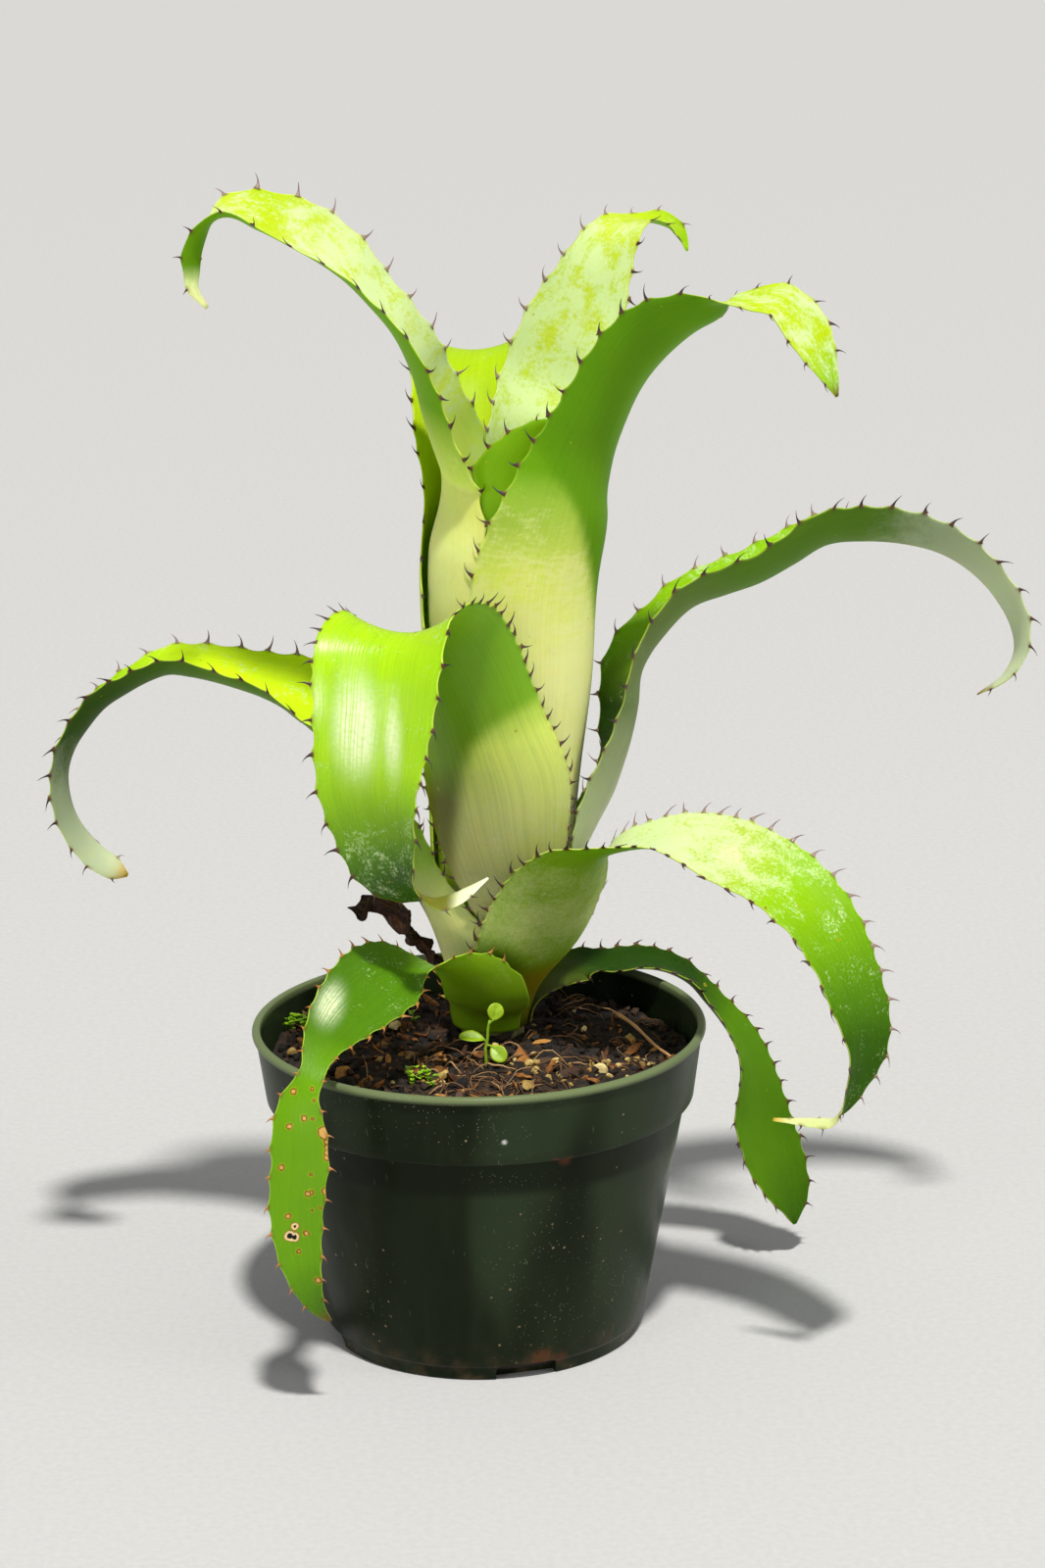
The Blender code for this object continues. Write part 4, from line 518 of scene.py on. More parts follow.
# How each leaf's colour runs from its foot, 0, to its tip, 1: the upper face, the lower face, and how much
# pale scurf lies on the upper face and on the lower one
LEAF_LOOKS = {
    "leaf_heart": [
        (0.0, LEAF_GREEN, SHEATH_PALE, 0.0, 0.1), (0.7, YOUNG_GREEN, YOUNG_GREEN, 0.0, 0.0),
        (1.0, YOUNG_GREEN, YOUNG_GREEN, 0.0, 0.0)],
    "leaf_top_back": [
        (0.0, PALE_LIME, SHEATH_PALE, 0.3, 0.2), (0.55, PALE_LIME, LEAF_GREEN, 0.66, 0.2),
        (0.85, PALE_LIME, LEAF_GREEN, 0.66, 0.2), (0.93, LIME, LEAF_GREEN, 0.25, 0.1),
        (1.0, LEAF_GREEN, LEAF_GREEN, 0.1, 0.1)],
    "leaf_top_left": [
        (0.0, PALE_LIME, SHEATH_PALE, 0.3, 0.3), (0.45, SHEATH_LIME, SHEATH_PALE, 0.3, 0.3),
        (0.56, SHEATH_LIME, SHEATH_LIME, 0.4, 0.3), (0.64, PALE_LIME, HANG_GREEN, 0.66, 0.0),
        (0.78, PALE_LIME, HANG_GREEN, 0.70, 0.0), (0.83, PALE_LIME, HANG_GREEN, 0.6, 0.0),
        (0.855, LIME, HANG_GREEN, 0.3, 0.0), (0.88, LIME, HANG_GREEN, 0.3, 0.0),
        (0.90, PALE_LIME, HANG_GREEN, 0.7, 0.0), (0.955, LIME, HANG_GREEN, 0.3, 0.0),
        (0.975, LIME, TIP_PALE, 0.1, 0.5), (1.0, LIME, TIP_PALE, 0.1, 0.6)],
    "leaf_top_right": [
        (0.0, PALE_LIME, SHEATH_PALE, 0.1, 0.3), (0.40, LEAF_GREEN, SHEATH_PALE, 0.15, 0.6),
        (0.50, GREEN, SHEATH_LIME, 0.15, 0.6), (0.60, GREEN, GREEN, 0.25, 0.0),
        (0.68, LEAF_GREEN, GREEN, 0.35, 0.0), (0.84, LIME, GREEN, 0.5, 0.0),
        (0.94, LIME, GREEN, 0.5, 0.05), (0.985, LEAF_GREEN, LEAF_GREEN, 0.4, 0.2),
        (1.0, TIP_BROWN, TIP_BROWN, 0.0, 0.0)],
    "leaf_back": [
        (0.0, PALE_LIME, SHEATH_PALE, 0.0, 0.3), (0.5, LIME, SHEATH_LIME, 0.03, 0.3),
        (0.62, LIME, SHEATH_GREEN, 0.05, 0.3), (0.8, LEAF_GREEN, WAX_GREEN, 0.2, 0.3),
        (1.0, DEEP_GREEN, WAX_GREEN, 0.2, 0.5)],
    # The sheath's inner face up to 0.37 is darkened with painted shade
    "leaf_right": [
        (0.0, INNER_SHADE_GREEN, SHEATH_PALE, 0.0, 0.3), (0.18, INNER_SHADE_GREEN, WAX_PALE, 0.0, 0.3),
        (0.25, INNER_SHADE_GREEN, WAX_PALE, 0.05, 0.3), (0.37, INNER_SHADE_GREEN, WAX_GREEN, 0.1, 0.35),
        (0.44, LEAF_GREEN, WAX_GREEN, 0.3, 0.28), (0.56, LEAF_GREEN, WAX_MID, 0.35, 0.08),
        (0.63, LEAF_GREEN, WAX_MID, 0.35, 0.05), (0.70, GREEN, WAX_MID, 0.4, 0.28),
        (0.78, GREEN, WAX_GREEN, 0.4, 0.8), (0.86, GREEN, WAX_PALE, 0.4, 1.0),
        (0.97, DEEP_GREEN, WAX_PALE, 0.3, 1.0), (1.0, TIP_BROWN, TIP_BROWN, 0.0, 0.0)],
    "leaf_front": [
        (0.0, SHEATH_GREEN, OLIVE, 0.0, 0.2), (0.12, SHEATH_GREEN, SHEATH_GREY, 0.0, 0.3),
        (0.22, SHEATH_GREEN, SHEATH_GREY, 0.0, 0.35), (0.30, SHEATH_GREEN, SHEATH_CREAM, 0.0, 0.35),
        (0.38, SHEATH_GREEN, SHEATH_LIME, 0.0, 0.25), (0.44, LEAF_GREEN, LEAF_GREEN, 0.1, 0.0),
        (0.5, LIME, LEAF_GREEN, 0.2, 0.0), (0.62, GLOSSY_GREEN, LEAF_GREEN, 0.14, 0.0),
        (0.74, GLOSSY_GREEN, LEAF_GREEN, 0.12, 0.2), (0.79, LEAF_GREEN, GREEN, 0.15, 0.3),
        (0.85, LOW_GREEN, WAX_GREEN, 0.32, 0.5), (0.88, DEEP_GREEN, WAX_GREEN, 0.30, 0.6),
        (0.92, DEEP_GREEN, TIP_WHITE, 0.2, 0.5), (1.0, LEAF_GREEN, TIP_WHITE, 0.1, 0.4)],
    "leaf_left": [
        (0.0, SHEATH_GREEN, SHEATH_PALE, 0.0, 0.4), (0.15, BRIGHT_LIME, SHEATH_PALE, 0.1, 0.4),
        (0.24, BRIGHT_LIME, SHEATH_GREEN, 0.1, 0.4), (0.4, BRIGHT_LIME, WAX_MID, 0.15, 0.1),
        (0.58, BRIGHT_LIME, WAX_MID, 0.2, 0.1), (0.72, LEAF_GREEN, WAX_DARK, 0.2, 0.05),
        (0.80, GREEN, WAX_DARK, 0.3, 0.45), (0.88, GREEN, WAX_GREEN, 0.3, 0.9),
        (0.97, DEEP_GREEN, WAX_PALE, 0.3, 1.0), (1.0, TIP_BROWN, TIP_YELLOW, 0.0, 0.0)],
    "leaf_low_right": [
        (0.0, OLIVE, OLIVE, 0.0, 0.0), (0.09, SHEATH_GREEN, AMBER, 0.0, 0.1),
        (0.13, SHEATH_GREEN, SHEATH_GREEN, 0.0, 0.4), (0.18, LEAF_GREEN, SHEATH_GREEN, 0.2, 0.6),
        (0.26, FROSTED, SHEATH_GREEN, 0.85, 0.5), (0.34, FROSTED, GREEN, 0.85, 0.15),
        (0.42, FROSTED, GREEN, 0.82, 0.1), (0.50, FROSTED, GREEN, 0.6, 0.1),
        (0.58, LEAF_GREEN, GREEN, 0.35, 0.1), (0.68, HANG_GREEN, GREEN, 0.2, 0.2),
        (0.74, MID_GREEN, GREEN, 0.15, 0.2), (0.80, DEEP_GREEN, WAX_GREEN, 0.1, 0.3),
        (0.92, DEEP_GREEN, TIP_PALE, 0.2, 0.6), (0.98, DEEP_GREEN, TIP_PALE, 0.1, 0.6),
        (1.0, TIP_YELLOW, TIP_YELLOW, 0.0, 0.0)],
    # Painted shade darkens the upper face from 0.2 to 0.42
    "leaf_low_back": [
        (0.0, OLIVE, OLIVE, 0.0, 0.0), (0.2, PAINTED_SHADE_GREEN, DEEP_GREEN, 0.0, 0.1),
        (0.42, PAINTED_SHADE_GREEN, WAX_DARK, 0.0, 0.2), (0.54, LOW_GREEN, WAX_DARK, 0.05, 0.3),
        (0.62, MID_GREEN, WAX_DARK, 0.05, 0.3), (0.85, LOW_GREEN, WAX_DARK, 0.0, 0.3),
        (1.0, DEEP_GREEN, WAX_GREEN, 0.0, 0.3)],
    "leaf_low_left": [
        (0.0, OLIVE, SHEATH_GREEN, 0.0, 0.0), (0.07, MID_GREEN, SHEATH_GREEN, 0.1, 0.1),
        (0.14, MID_GREEN, SHEATH_GREEN, 0.1, 0.3), (0.22, GREEN, LEAF_GREEN, 0.22, 0.35),
        (0.32, MID_GREEN, LEAF_GREEN, 0.2, 0.2), (0.5, MID_GREEN, LEAF_GREEN, 0.05, 0.2),
        (0.6, HANG_GREEN, LEAF_GREEN, 0.0, 0.2), (0.88, HANG_GREEN, LEAF_GREEN, 0.0, 0.2),
        (0.97, MID_GREEN, MID_GREEN, 0.0, 0.2), (1.0, TIP_BROWN, TIP_BROWN, 0.0, 0.0)],
    "leaf_dried": [
        (0.0, DEAD, DEAD, 0.0, 0.0), (0.5, DEAD_LIGHT, DEAD, 0.0, 0.0),
        (1.0, DEAD, DEAD, 0.0, 0.0)],
}

# Painted shadows on a leaf's lower face, cast by its own blade and bounded by a line: (x, z) points from top
# to bottom, the side of the line, 1 right or -1 left, that lies in painted shadow, how soft its edge is, and
# the shaded tone by height
PAINTED_SHADOW_EDGES = {
    "leaf_top_right": dict(
        line=((22.1, 311.0), (26.2, 303.7), (31.6, 296.3), (35.7, 286.3), (38.1, 274.7), (39.8, 263.0),
              (41.0, 249.6), (42.5, 236.0)),
        side=1, soft=2.2, shadow_tones=((236.0, (0.10, 0.25, 0.003)), (330.0, (0.11, 0.28, 0.003)))),
    "leaf_front": dict(
        line=((25.1, 227.5), (20.2, 225.5), (12.0, 221.6), (4.7, 216.7), (-0.6, 210.3), (-4.0, 200.9),
              (-5.9, 190.0), (-7.1, 177.0), (-7.5, 150.0)),
        side=-1, soft=3.0, shadow_tones=((150.0, (0.16, 0.17, 0.02)), (188.0, (0.13, 0.14, 0.008)),
                                  (203.0, (0.20, 0.36, 0.004)), (230.0, (0.20, 0.42, 0.003)))),
}

# Painted highlights: white sheen painted along the ribs of an upper face. Each has its middle in (x, z), its
# reach in x and z, and its strength
PAINTED_SHEENS = {
    "leaf_front": (((-38.5, 227.0), (7.5, 17.0), 1.0), ((-26.5, 224.0), (3.2, 15.0), 0.75),
                   ((-50.0, 236.0), (2.5, 9.0), 0.6)),
    "leaf_low_left": (((-49.5, 133.5), (5.0, 5.5), 0.85),),
    "leaf_low_right": (((86.0, 175.5), (9.0, 3.0), 0.35),),
}

# Marks on the hanging low leaf as (x, z, radius): rusty spots with a tan middle, and holes painted as a tan
# rim round a dark middle of painted shade
RUST_SPOTS = (
    (-61.0, 112.1, 0.9), (-57.8, 104.0, 0.85), (-62.5, 101.3, 0.9), (-54.9, 113.1, 0.5), (-54.9, 104.0, 0.45),
    (-54.2, 109.8, 0.45), (-51.2, 99.6, 2.0), (-50.5, 96.5, 0.95), (-50.4, 94.6, 0.9), (-50.5, 92.9, 0.9),
    (-50.7, 91.2, 0.9), (-65.5, 87.8, 0.95), (-55.9, 85.3, 0.5), (-57.1, 78.5, 0.9), (-55.9, 79.2, 0.75),
    (-50.9, 79.8, 1.5), (-63.7, 70.8, 0.9), (-58.0, 64.6, 0.9), (-60.6, 58.2, 0.7), (-54.5, 47.9, 1.1),
    (-55.8, 72.9, 0.35), (-53.2, 73.9, 0.35))
PAINTED_HOLES = ((-61.7, 67.1, 0.9), (-63.4, 63.9, 1.4), (-61.9, 63.3, 1.25))
# Rings of colour in a mark from its edge inwards: the depth where one starts and where it is full, how much
# of it shows, and the colour
RUST_LAYERS = ((-0.75, -0.35, 0.5, (0.36, 0.42, 0.01)), (-0.35, -0.05, 0.9, (0.22, 0.075, 0.008)),
               (0.15, 0.5, 0.95, (0.62, 0.37, 0.11)))
# A hole's dark middle ring is painted shade
HOLE_LAYERS = ((-0.8, -0.5, 0.9, (0.30, 0.13, 0.02)), (-0.45, -0.15, 1.0, (0.74, 0.56, 0.30)),
               (0.35, 0.55, 1.0, (0.006, 0.006, 0.005)))
MARKS = ((RUST_SPOTS, RUST_LAYERS), (PAINTED_HOLES, HOLE_LAYERS))
# The same for the small spots that other leaves have
SPOT_LAYERS = ((-0.035, 0.0, 0.75, (0.40, 0.36, 0.02)), (0.0, 0.03, 0.9, (0.15, 0.055, 0.008)))

# Leaf materials. LEAF_NUMBERS name what a leaf's mesh holds by point. Tints are multiplied in, and the
# horn's colours run from foot to tip. In a finish, rough is the bare face's roughness, frost the scurf's
# colour on the lower face, and soft how much of the scurf's pattern shows there. The other numbers are
# strengths.
LEAF_NUMBERS = ("scurf", "under", "margin", "thorn", "sheen")
RIB_TINT = (0.74, 0.80, 0.8)
CLOUD_TINT = (1.22, 1.08, 0.9)
GRIME_TINT = (0.72, 0.78, 0.7)
# The colour of the painted sheen highlight
PAINTED_SHEEN_COLOUR = (0.86, 0.92, 0.62)
RIM_COLOUR = (0.58, 0.64, 0.10)
THORN_COLOUR = (0.13, 0.035, 0.015)
HORN = ((0.12, 0.05, 0.012), (0.07, 0.020, 0.010), (0.018, 0.008, 0.007), (0.010, 0.007, 0.008))
TAN_HORN = ((0.26, 0.22, 0.02), (0.36, 0.17, 0.02), (0.40, 0.16, 0.035), (0.20, 0.07, 0.02))
LEAF_FINISHES = {
    "leaf_young": dict(name="young leaf", ribs=0.2),
    "leaf_pale": dict(name="pale leaf", ribs=0.2, rough=0.42, frost=FROST),
    "leaf_right": dict(name="green leaf", ribs=0.3, rough=0.4, frost=FROST),
    "leaf_waxy": dict(name="waxy leaf", ribs=0.4, rough=0.42, soft=0.3),
    "leaf_front": dict(name="glossy leaf", ribs=0.6, spots=0.25, rough=0.27, shine=0.35, soft=0.6,
                       powder=0.3, flecked=0.35),
    "leaf_low": dict(name="low leaf", ribs=0.5, spots=0.2, rough=0.36, shine=0.08, frost=FROST, soft=0.3,
                     powder=0.3, flecked=0.5),
    "spotted": dict(name="spotted leaf", ribs=0.5, rough=0.30, shine=0.2, frost=FROST, soft=0.3, powder=0.3,
                    flecked=0.3, marked=True),
}


# Scene

def add_object(name, data):
    made = bpy.data.objects.new(name, data)
    bpy.context.scene.collection.objects.link(made)
    return made


def add_camera():
    pitch, yaw, roll = (math.radians(angle) for angle in (CAMERA_PITCH, CAMERA_YAW, CAMERA_ROLL))
    forward = Vector((math.sin(yaw) * math.cos(pitch), math.cos(yaw) * math.cos(pitch), -math.sin(pitch)))
    level_right = forward.cross(UP).normalized()
    level_up = level_right.cross(forward)
    right = level_right * math.cos(roll) + level_up * math.sin(roll)
    up = level_up * math.cos(roll) - level_right * math.sin(roll)
    data = bpy.data.cameras.new("camera")
    data.sensor_width = SENSOR
    data.lens = FOCAL_PIXELS * SENSOR / PHOTO_HEIGHT
    camera = add_object("camera", data)
    axes = Matrix((right, up, -forward)).transposed().to_4x4()
    camera.matrix_world = Matrix.Translation(CAMERA_PLACE) @ axes
    bpy.context.scene.camera = camera


def add_lights():
    """A key like a soft sun, a softbox at each side, and an even white sky."""
    world = bpy.data.worlds.new("studio")
    bpy.context.scene.world = world
    world.use_nodes = True
    background = world.node_tree.nodes["Background"]
    background.inputs["Color"].default_value = (1.0, 1.0, 1.0, 1.0)
    background.inputs["Strength"].default_value = SKY_STRENGTH
    key = bpy.data.lights.new("key", "SUN")
    key.energy = KEY_STRENGTH
    key.angle = math.radians(KEY_SPREAD)
    key.color = KEY_COLOUR
    add_object("key", key).rotation_euler = Vector(KEY_DIRECTION).to_track_quat("Z", "Y").to_euler()
    for name, place, size, watts in SOFTBOXES:
        light = bpy.data.lights.new(name, "AREA")
        light.shape = "RECTANGLE"
        light.size, light.size_y = size
        light.energy = watts
        softbox = add_object(name, light)
        softbox.location = place
        aim = Vector(SOFTBOX_TARGET) - Vector(place)
        softbox.rotation_euler = aim.to_track_quat("-Z", "Y").to_euler()


def add_floor():
    """The studio's floor, a wide disc in metres."""
    points = [point for radius in STUDIO_RINGS for point in circle(radius, 0.0, STUDIO_SIDES)]
    middle = len(points)
    points.append((0.0, 0.0, 0.0))
    faces = [(middle, side, (side + 1) % STUDIO_SIDES) for side in range(STUDIO_SIDES)]
    faces += [(a, d, c, b) for a, b, c, d in ring_quads(0, len(STUDIO_RINGS), STUDIO_SIDES)]
    mesh = bpy.data.meshes.new("studio_floor")
    mesh.from_pydata(points, [], faces)
    floor = add_object("studio_floor", mesh)
    made = Nodes("studio floor")
    grain = made.noise(scale=400, detail=3)
    colour = made.ramp(grain, [(0.3, (0.47, 0.47, 0.465)), (0.7, (0.51, 0.51, 0.505))])
    mesh.materials.append(made.surface(colour, roughness=0.75))


# Materials

class Nodes:
    """A material's node tree, with short ways to add the nodes that the materials here are made of."""

    def __init__(self, name):
        self.material = bpy.data.materials.new(name)
        self.material.use_nodes = True
        self.tree = self.material.node_tree
        self.shader = self.tree.nodes["Principled BSDF"]
        self.places = self.node("TexCoord").outputs["Object"]

    def node(self, kind, **settings):
        made = self.tree.nodes.new("ShaderNode" + kind)
        for key, value in settings.items():
            setattr(made, key, value)
        return made

    def put(self, socket, value):
        if isinstance(value, bpy.types.NodeSocket):
            self.tree.links.new(value, socket)
        elif isinstance(value, (tuple, list)) and len(value) == 3 and socket.type == "RGBA":
            socket.default_value = (*value, 1.0)
        else:
            socket.default_value = value

    def wired(self, kind, values, output=0, **settings):
        """The output of a new node whose inputs are linked or set."""
        made = self.node(kind, **settings)
        for socket, value in values.items():
            self.put(made.inputs[socket], value)
        return made.outputs[output]

    def attribute(self, name, output="Fac"):
        return self.node("Attribute", attribute_name=name).outputs[output]

    def split(self, vector):
        made = self.node("SeparateXYZ")
        self.put(made.inputs[0], vector)
        return made.outputs

    def joined(self, first, second):
        return self.wired("CombineXYZ", {0: first, 1: second})

    def stretched(self, scale, turn=(0.0, 0.0, 0.0)):
        """The object's own coordinates, turned and scaled by axis."""
        return self.wired("Mapping", {"Vector": self.places, "Rotation": turn, "Scale": scale})

    def leaf_map(self, across, along):
        """The leaf's own map, with so many units across its width and so many to a metre along it."""
        side, run, _ = self.split(self.node("UVMap", uv_map="leaf_map").outputs["UV"])
        return self.joined(self.times(side, across), self.times(run, along))

    def maths(self, operation, first, second):
        return self.wired("Math", {0: first, 1: second}, operation=operation)

    def plus(self, first, second):
        return self.maths("ADD", first, second)

    def minus(self, first, second):
        return self.maths("SUBTRACT", first, second)

    def times(self, first, second):
        return self.maths("MULTIPLY", first, second)

    def swing(self, pattern, size):
        """A pattern's swing about its middle value."""
        return self.times(self.minus(pattern, 0.5), size)

    def distance(self, vector, place):
        return self.wired("VectorMath", {0: vector, 1: place}, "Value", operation="DISTANCE")

    def noise(self, vector=None, scale=1.0, detail=2.0, roughness=0.5, distortion=0.0):
        values = {"Vector": self.places if vector is None else vector, "Scale": scale, "Detail": detail,
                  "Roughness": roughness, "Distortion": distortion}
        return self.wired("TexNoise", values, "Fac")

    def cells(self, scale):
        """How far a point lies from the middle of its cell."""
        return self.wired("TexVoronoi", {"Vector": self.places, "Scale": scale}, "Distance")

    def step(self, value, low, high, out_low=0.0, out_high=1.0):
        """A smooth rise from out_low to out_high as the value goes from low to high."""
        values = dict(enumerate((value, low, high, out_low, out_high)))
        return self.wired("MapRange", values, interpolation_type="SMOOTHSTEP")

    def ramp(self, value, stops):
        made = self.node("ValToRGB")
        elements = made.color_ramp.elements
        while len(elements) < len(stops):
            elements.new(0.5)
        for element, (place, colour) in zip(elements, stops):
            element.position = place
            element.color = (*colour, 1.0)
        self.put(made.inputs[0], value)
        return made.outputs["Color"]

    def mix(self, share, first, second, blend="MIX"):
        values = {0: share, 6: first, 7: second}
        return self.wired("Mix", values, 2, data_type="RGBA", blend_type=blend)

    def tinted(self, colour, factor):
        return self.mix(1.0, colour, factor, "MULTIPLY")

    def over(self, colour, value, low, high, share, tint):
        """A colour with a tint laid over it as the value goes from low to high."""
        return self.mix(self.step(value, low, high, 0.0, share), colour, tint)

    def bump(self, height, strength, distance, normal=None):
        values = {"Strength": strength, "Distance": distance, "Height": height}
        if normal is not None:
            values["Normal"] = normal
        return self.wired("Bump", values, "Normal")

    def surface(self, colour, roughness, normal=None, **others):
        values = {"Base Color": colour, "Roughness": roughness, **others}
        if normal is not None:
            values["Normal"] = normal
        for name, value in values.items():
            self.put(self.shader.inputs[name.replace("_", " ")], value)
        return self.material


def marks(made, places):
    """How deep a point lies inside the nearest of some marks, in millimetres, negative outside them."""
    right, _, height = made.split(made.places)
    flat = made.joined(right, height)
    deepest = None
    for x, z, radius in places:
        away = made.distance(flat, (x * MM, z * MM, 0.0))
        inside = made.minus(radius, made.maths("DIVIDE", away, MM))
        deepest = inside if deepest is None else made.maths("MAXIMUM", deepest, inside)
    return made.plus(deepest, made.swing(made.noise(scale=900), 1.1))


def scurf_cover(made, scurf, contrast, powder, flecked):
    """How much pale scurf hides the leaf, in blotches, streaks and flecks. Also the fine patterns in it."""
    blotches = made.noise(made.leaf_map(4.5, 105), detail=4, roughness=0.6, distortion=0.4)
    mottle = made.noise(made.leaf_map(26, 700), detail=3)
    fine = made.noise(scale=1400)
    streaks = made.noise(made.leaf_map(55, 14), detail=3)
    amount = scurf
    for pattern, size in ((blotches, 1.7 - 1.2 * powder), (mottle, 0.8 - 0.3 * powder),
                          (fine, 0.4 + 1.5 * powder), (streaks, 0.3 - 0.2 * powder)):
        amount = made.plus(amount, made.swing(pattern, size))
    amount = made.plus(scurf, made.times(made.minus(amount, scurf), contrast))
    cover = made.times(made.step(amount, 0.30, 0.80), made.step(scurf, 0.0, 0.12))
    flecks = made.times(made.step(fine, 0.56, 0.70), made.step(mottle, 0.42, 0.6))
    flecks = made.times(made.times(flecks, contrast), flecked)
    flecks = made.times(flecks, made.step(scurf, 0.0, 0.5, 0.06, 0.6))
    return made.maths("MAXIMUM", cover, flecks), mottle, fine


def leaf_material(name, ribs=0.5, spots=0.0, rough=0.36, shine=0.09, frost=WAX, soft=1.0, powder=0.0,
                  flecked=1.0, marked=False):
    """Living leaf: its own colours from the mesh, under pale scurf, with painted sheen highlights, spots and
    a pale rim.
    """
    made = Nodes(name)
    tone = made.attribute("tone", "Color")
    scurf, under, margin, thorn, sheen = [made.attribute(key) for key in LEAF_NUMBERS]
    contrast = made.step(under, 0.0, 1.0, 1.0, soft)
    cover, mottle, fine = scurf_cover(made, scurf, contrast, powder, flecked)
    ribbing = made.noise(made.leaf_map(75, 7), detail=3, roughness=0.62)
    clouds = made.noise(scale=34, detail=3)
    grime = made.noise(made.leaf_map(14, 190), detail=4, roughness=0.65)

    colour = made.over(tone, ribbing, 0.38, 0.62, ribs * 0.8, made.tinted(tone, RIB_TINT))
    colour = made.over(colour, clouds, 0.35, 0.68, 0.35, made.tinted(colour, CLOUD_TINT))
    colour = made.over(colour, grime, 0.52, 0.78, 0.30, made.tinted(colour, GRIME_TINT))
    pale = made.mix(under, SCURF, frost)
    colour = made.mix(made.times(cover, made.step(under, 0.0, 1.0, 0.86, 0.55)), colour, pale)
    # Painted highlight: white sheen over the ribs where the painted sheen value is high
    glint = made.times(made.step(sheen, 0.05, 0.9), made.step(ribbing, 0.36, 0.56, 0.35, 1.0))
    glint = made.times(glint, made.step(mottle, 0.3, 0.6, 0.7, 1.0))
    colour = made.mix(made.times(glint, 0.92), colour, PAINTED_SHEEN_COLOUR)

    spot_size = made.noise(scale=60, detail=0)
    reach = made.step(spot_size, 0.45, 0.7, 0.02, 0.02 + 0.22 * spots)
    ring = made.minus(reach, made.cells(105))
    for layer in SPOT_LAYERS:
        colour = made.over(colour, ring, *layer)
    for places, layers in (MARKS if marked else ()):
        depth = marks(made, places)
        for layer in layers:
            colour = made.over(colour, depth, *layer)
    rim = made.times(made.step(margin, 0.965, 1.0, 0.0, 0.5), made.step(under, 0.0, 1.0, 1.0, 0.45))
    colour = made.mix(rim, colour, RIM_COLOUR)
    colour = made.mix(thorn, colour, THORN_COLOUR)

    roughness = made.plus(made.times(cover, 0.22), rough)
    roughness = made.plus(roughness, made.times(under, 0.12))
    relief = made.times(made.step(under, 0.0, 1.0, 1.0, 0.22), ribs)
    normal = made.bump(fine, 0.25, 0.00008, made.bump(ribbing, relief, 0.0003))
    return made.surface(colour, roughness, normal, Specular_IOR_Level=0.8 * shine, Subsurface_Weight=0.7,
                        Subsurface_Radius=(0.6, 1.0, 0.05), Subsurface_Scale=0.0012)


def dried_material():
    made = Nodes("dried leaf")
    fibres = made.noise(made.leaf_map(26, 50), detail=6, roughness=0.7)
    crumbs = made.noise(scale=500, detail=4)
    colour = made.ramp(fibres, [(0.35, (0.008, 0.003, 0.002)), (0.52, (0.035, 0.011, 0.004)),
                                (0.62, (0.14, 0.045, 0.008)), (0.75, (0.30, 0.14, 0.04))])
    normal = made.bump(made.plus(fibres, crumbs), 0.9, 0.0006)
    return made.surface(colour, made.step(crumbs, 0.3, 0.7, 0.6, 0.95), normal)


def spine_material(name, foot, red, body, tip):
    """Horny spines, coloured from foot to tip, with a reddish edge where light comes through."""
    made = Nodes(name)
    grain = made.noise(scale=900, detail=3)
    rise = made.plus(made.attribute("rise"), made.swing(grain, 0.35))
    colour = made.ramp(rise, [(0.0, foot), (0.14, red), (0.34, body), (0.9, tip)])
    dry = made.ramp(rise, [(0.0, (0.26, 0.20, 0.10)), (0.3, (0.24, 0.16, 0.15)), (0.9, (0.13, 0.09, 0.10))])
    colour = made.mix(made.attribute("dry"), colour, dry)
    return made.surface(colour, made.step(grain, 0.3, 0.7, 0.32, 0.5), made.bump(grain, 0.3, 0.0002),
                        Subsurface_Weight=0.12, Subsurface_Radius=(1.0, 0.35, 0.2), Subsurface_Scale=0.0006)


def specks(made, density, reach, patches, low, high):
    """Round specks of a size, only where a pattern of patches is high."""
    return made.times(made.step(made.cells(density), reach, 0.08), made.step(patches, low, high))


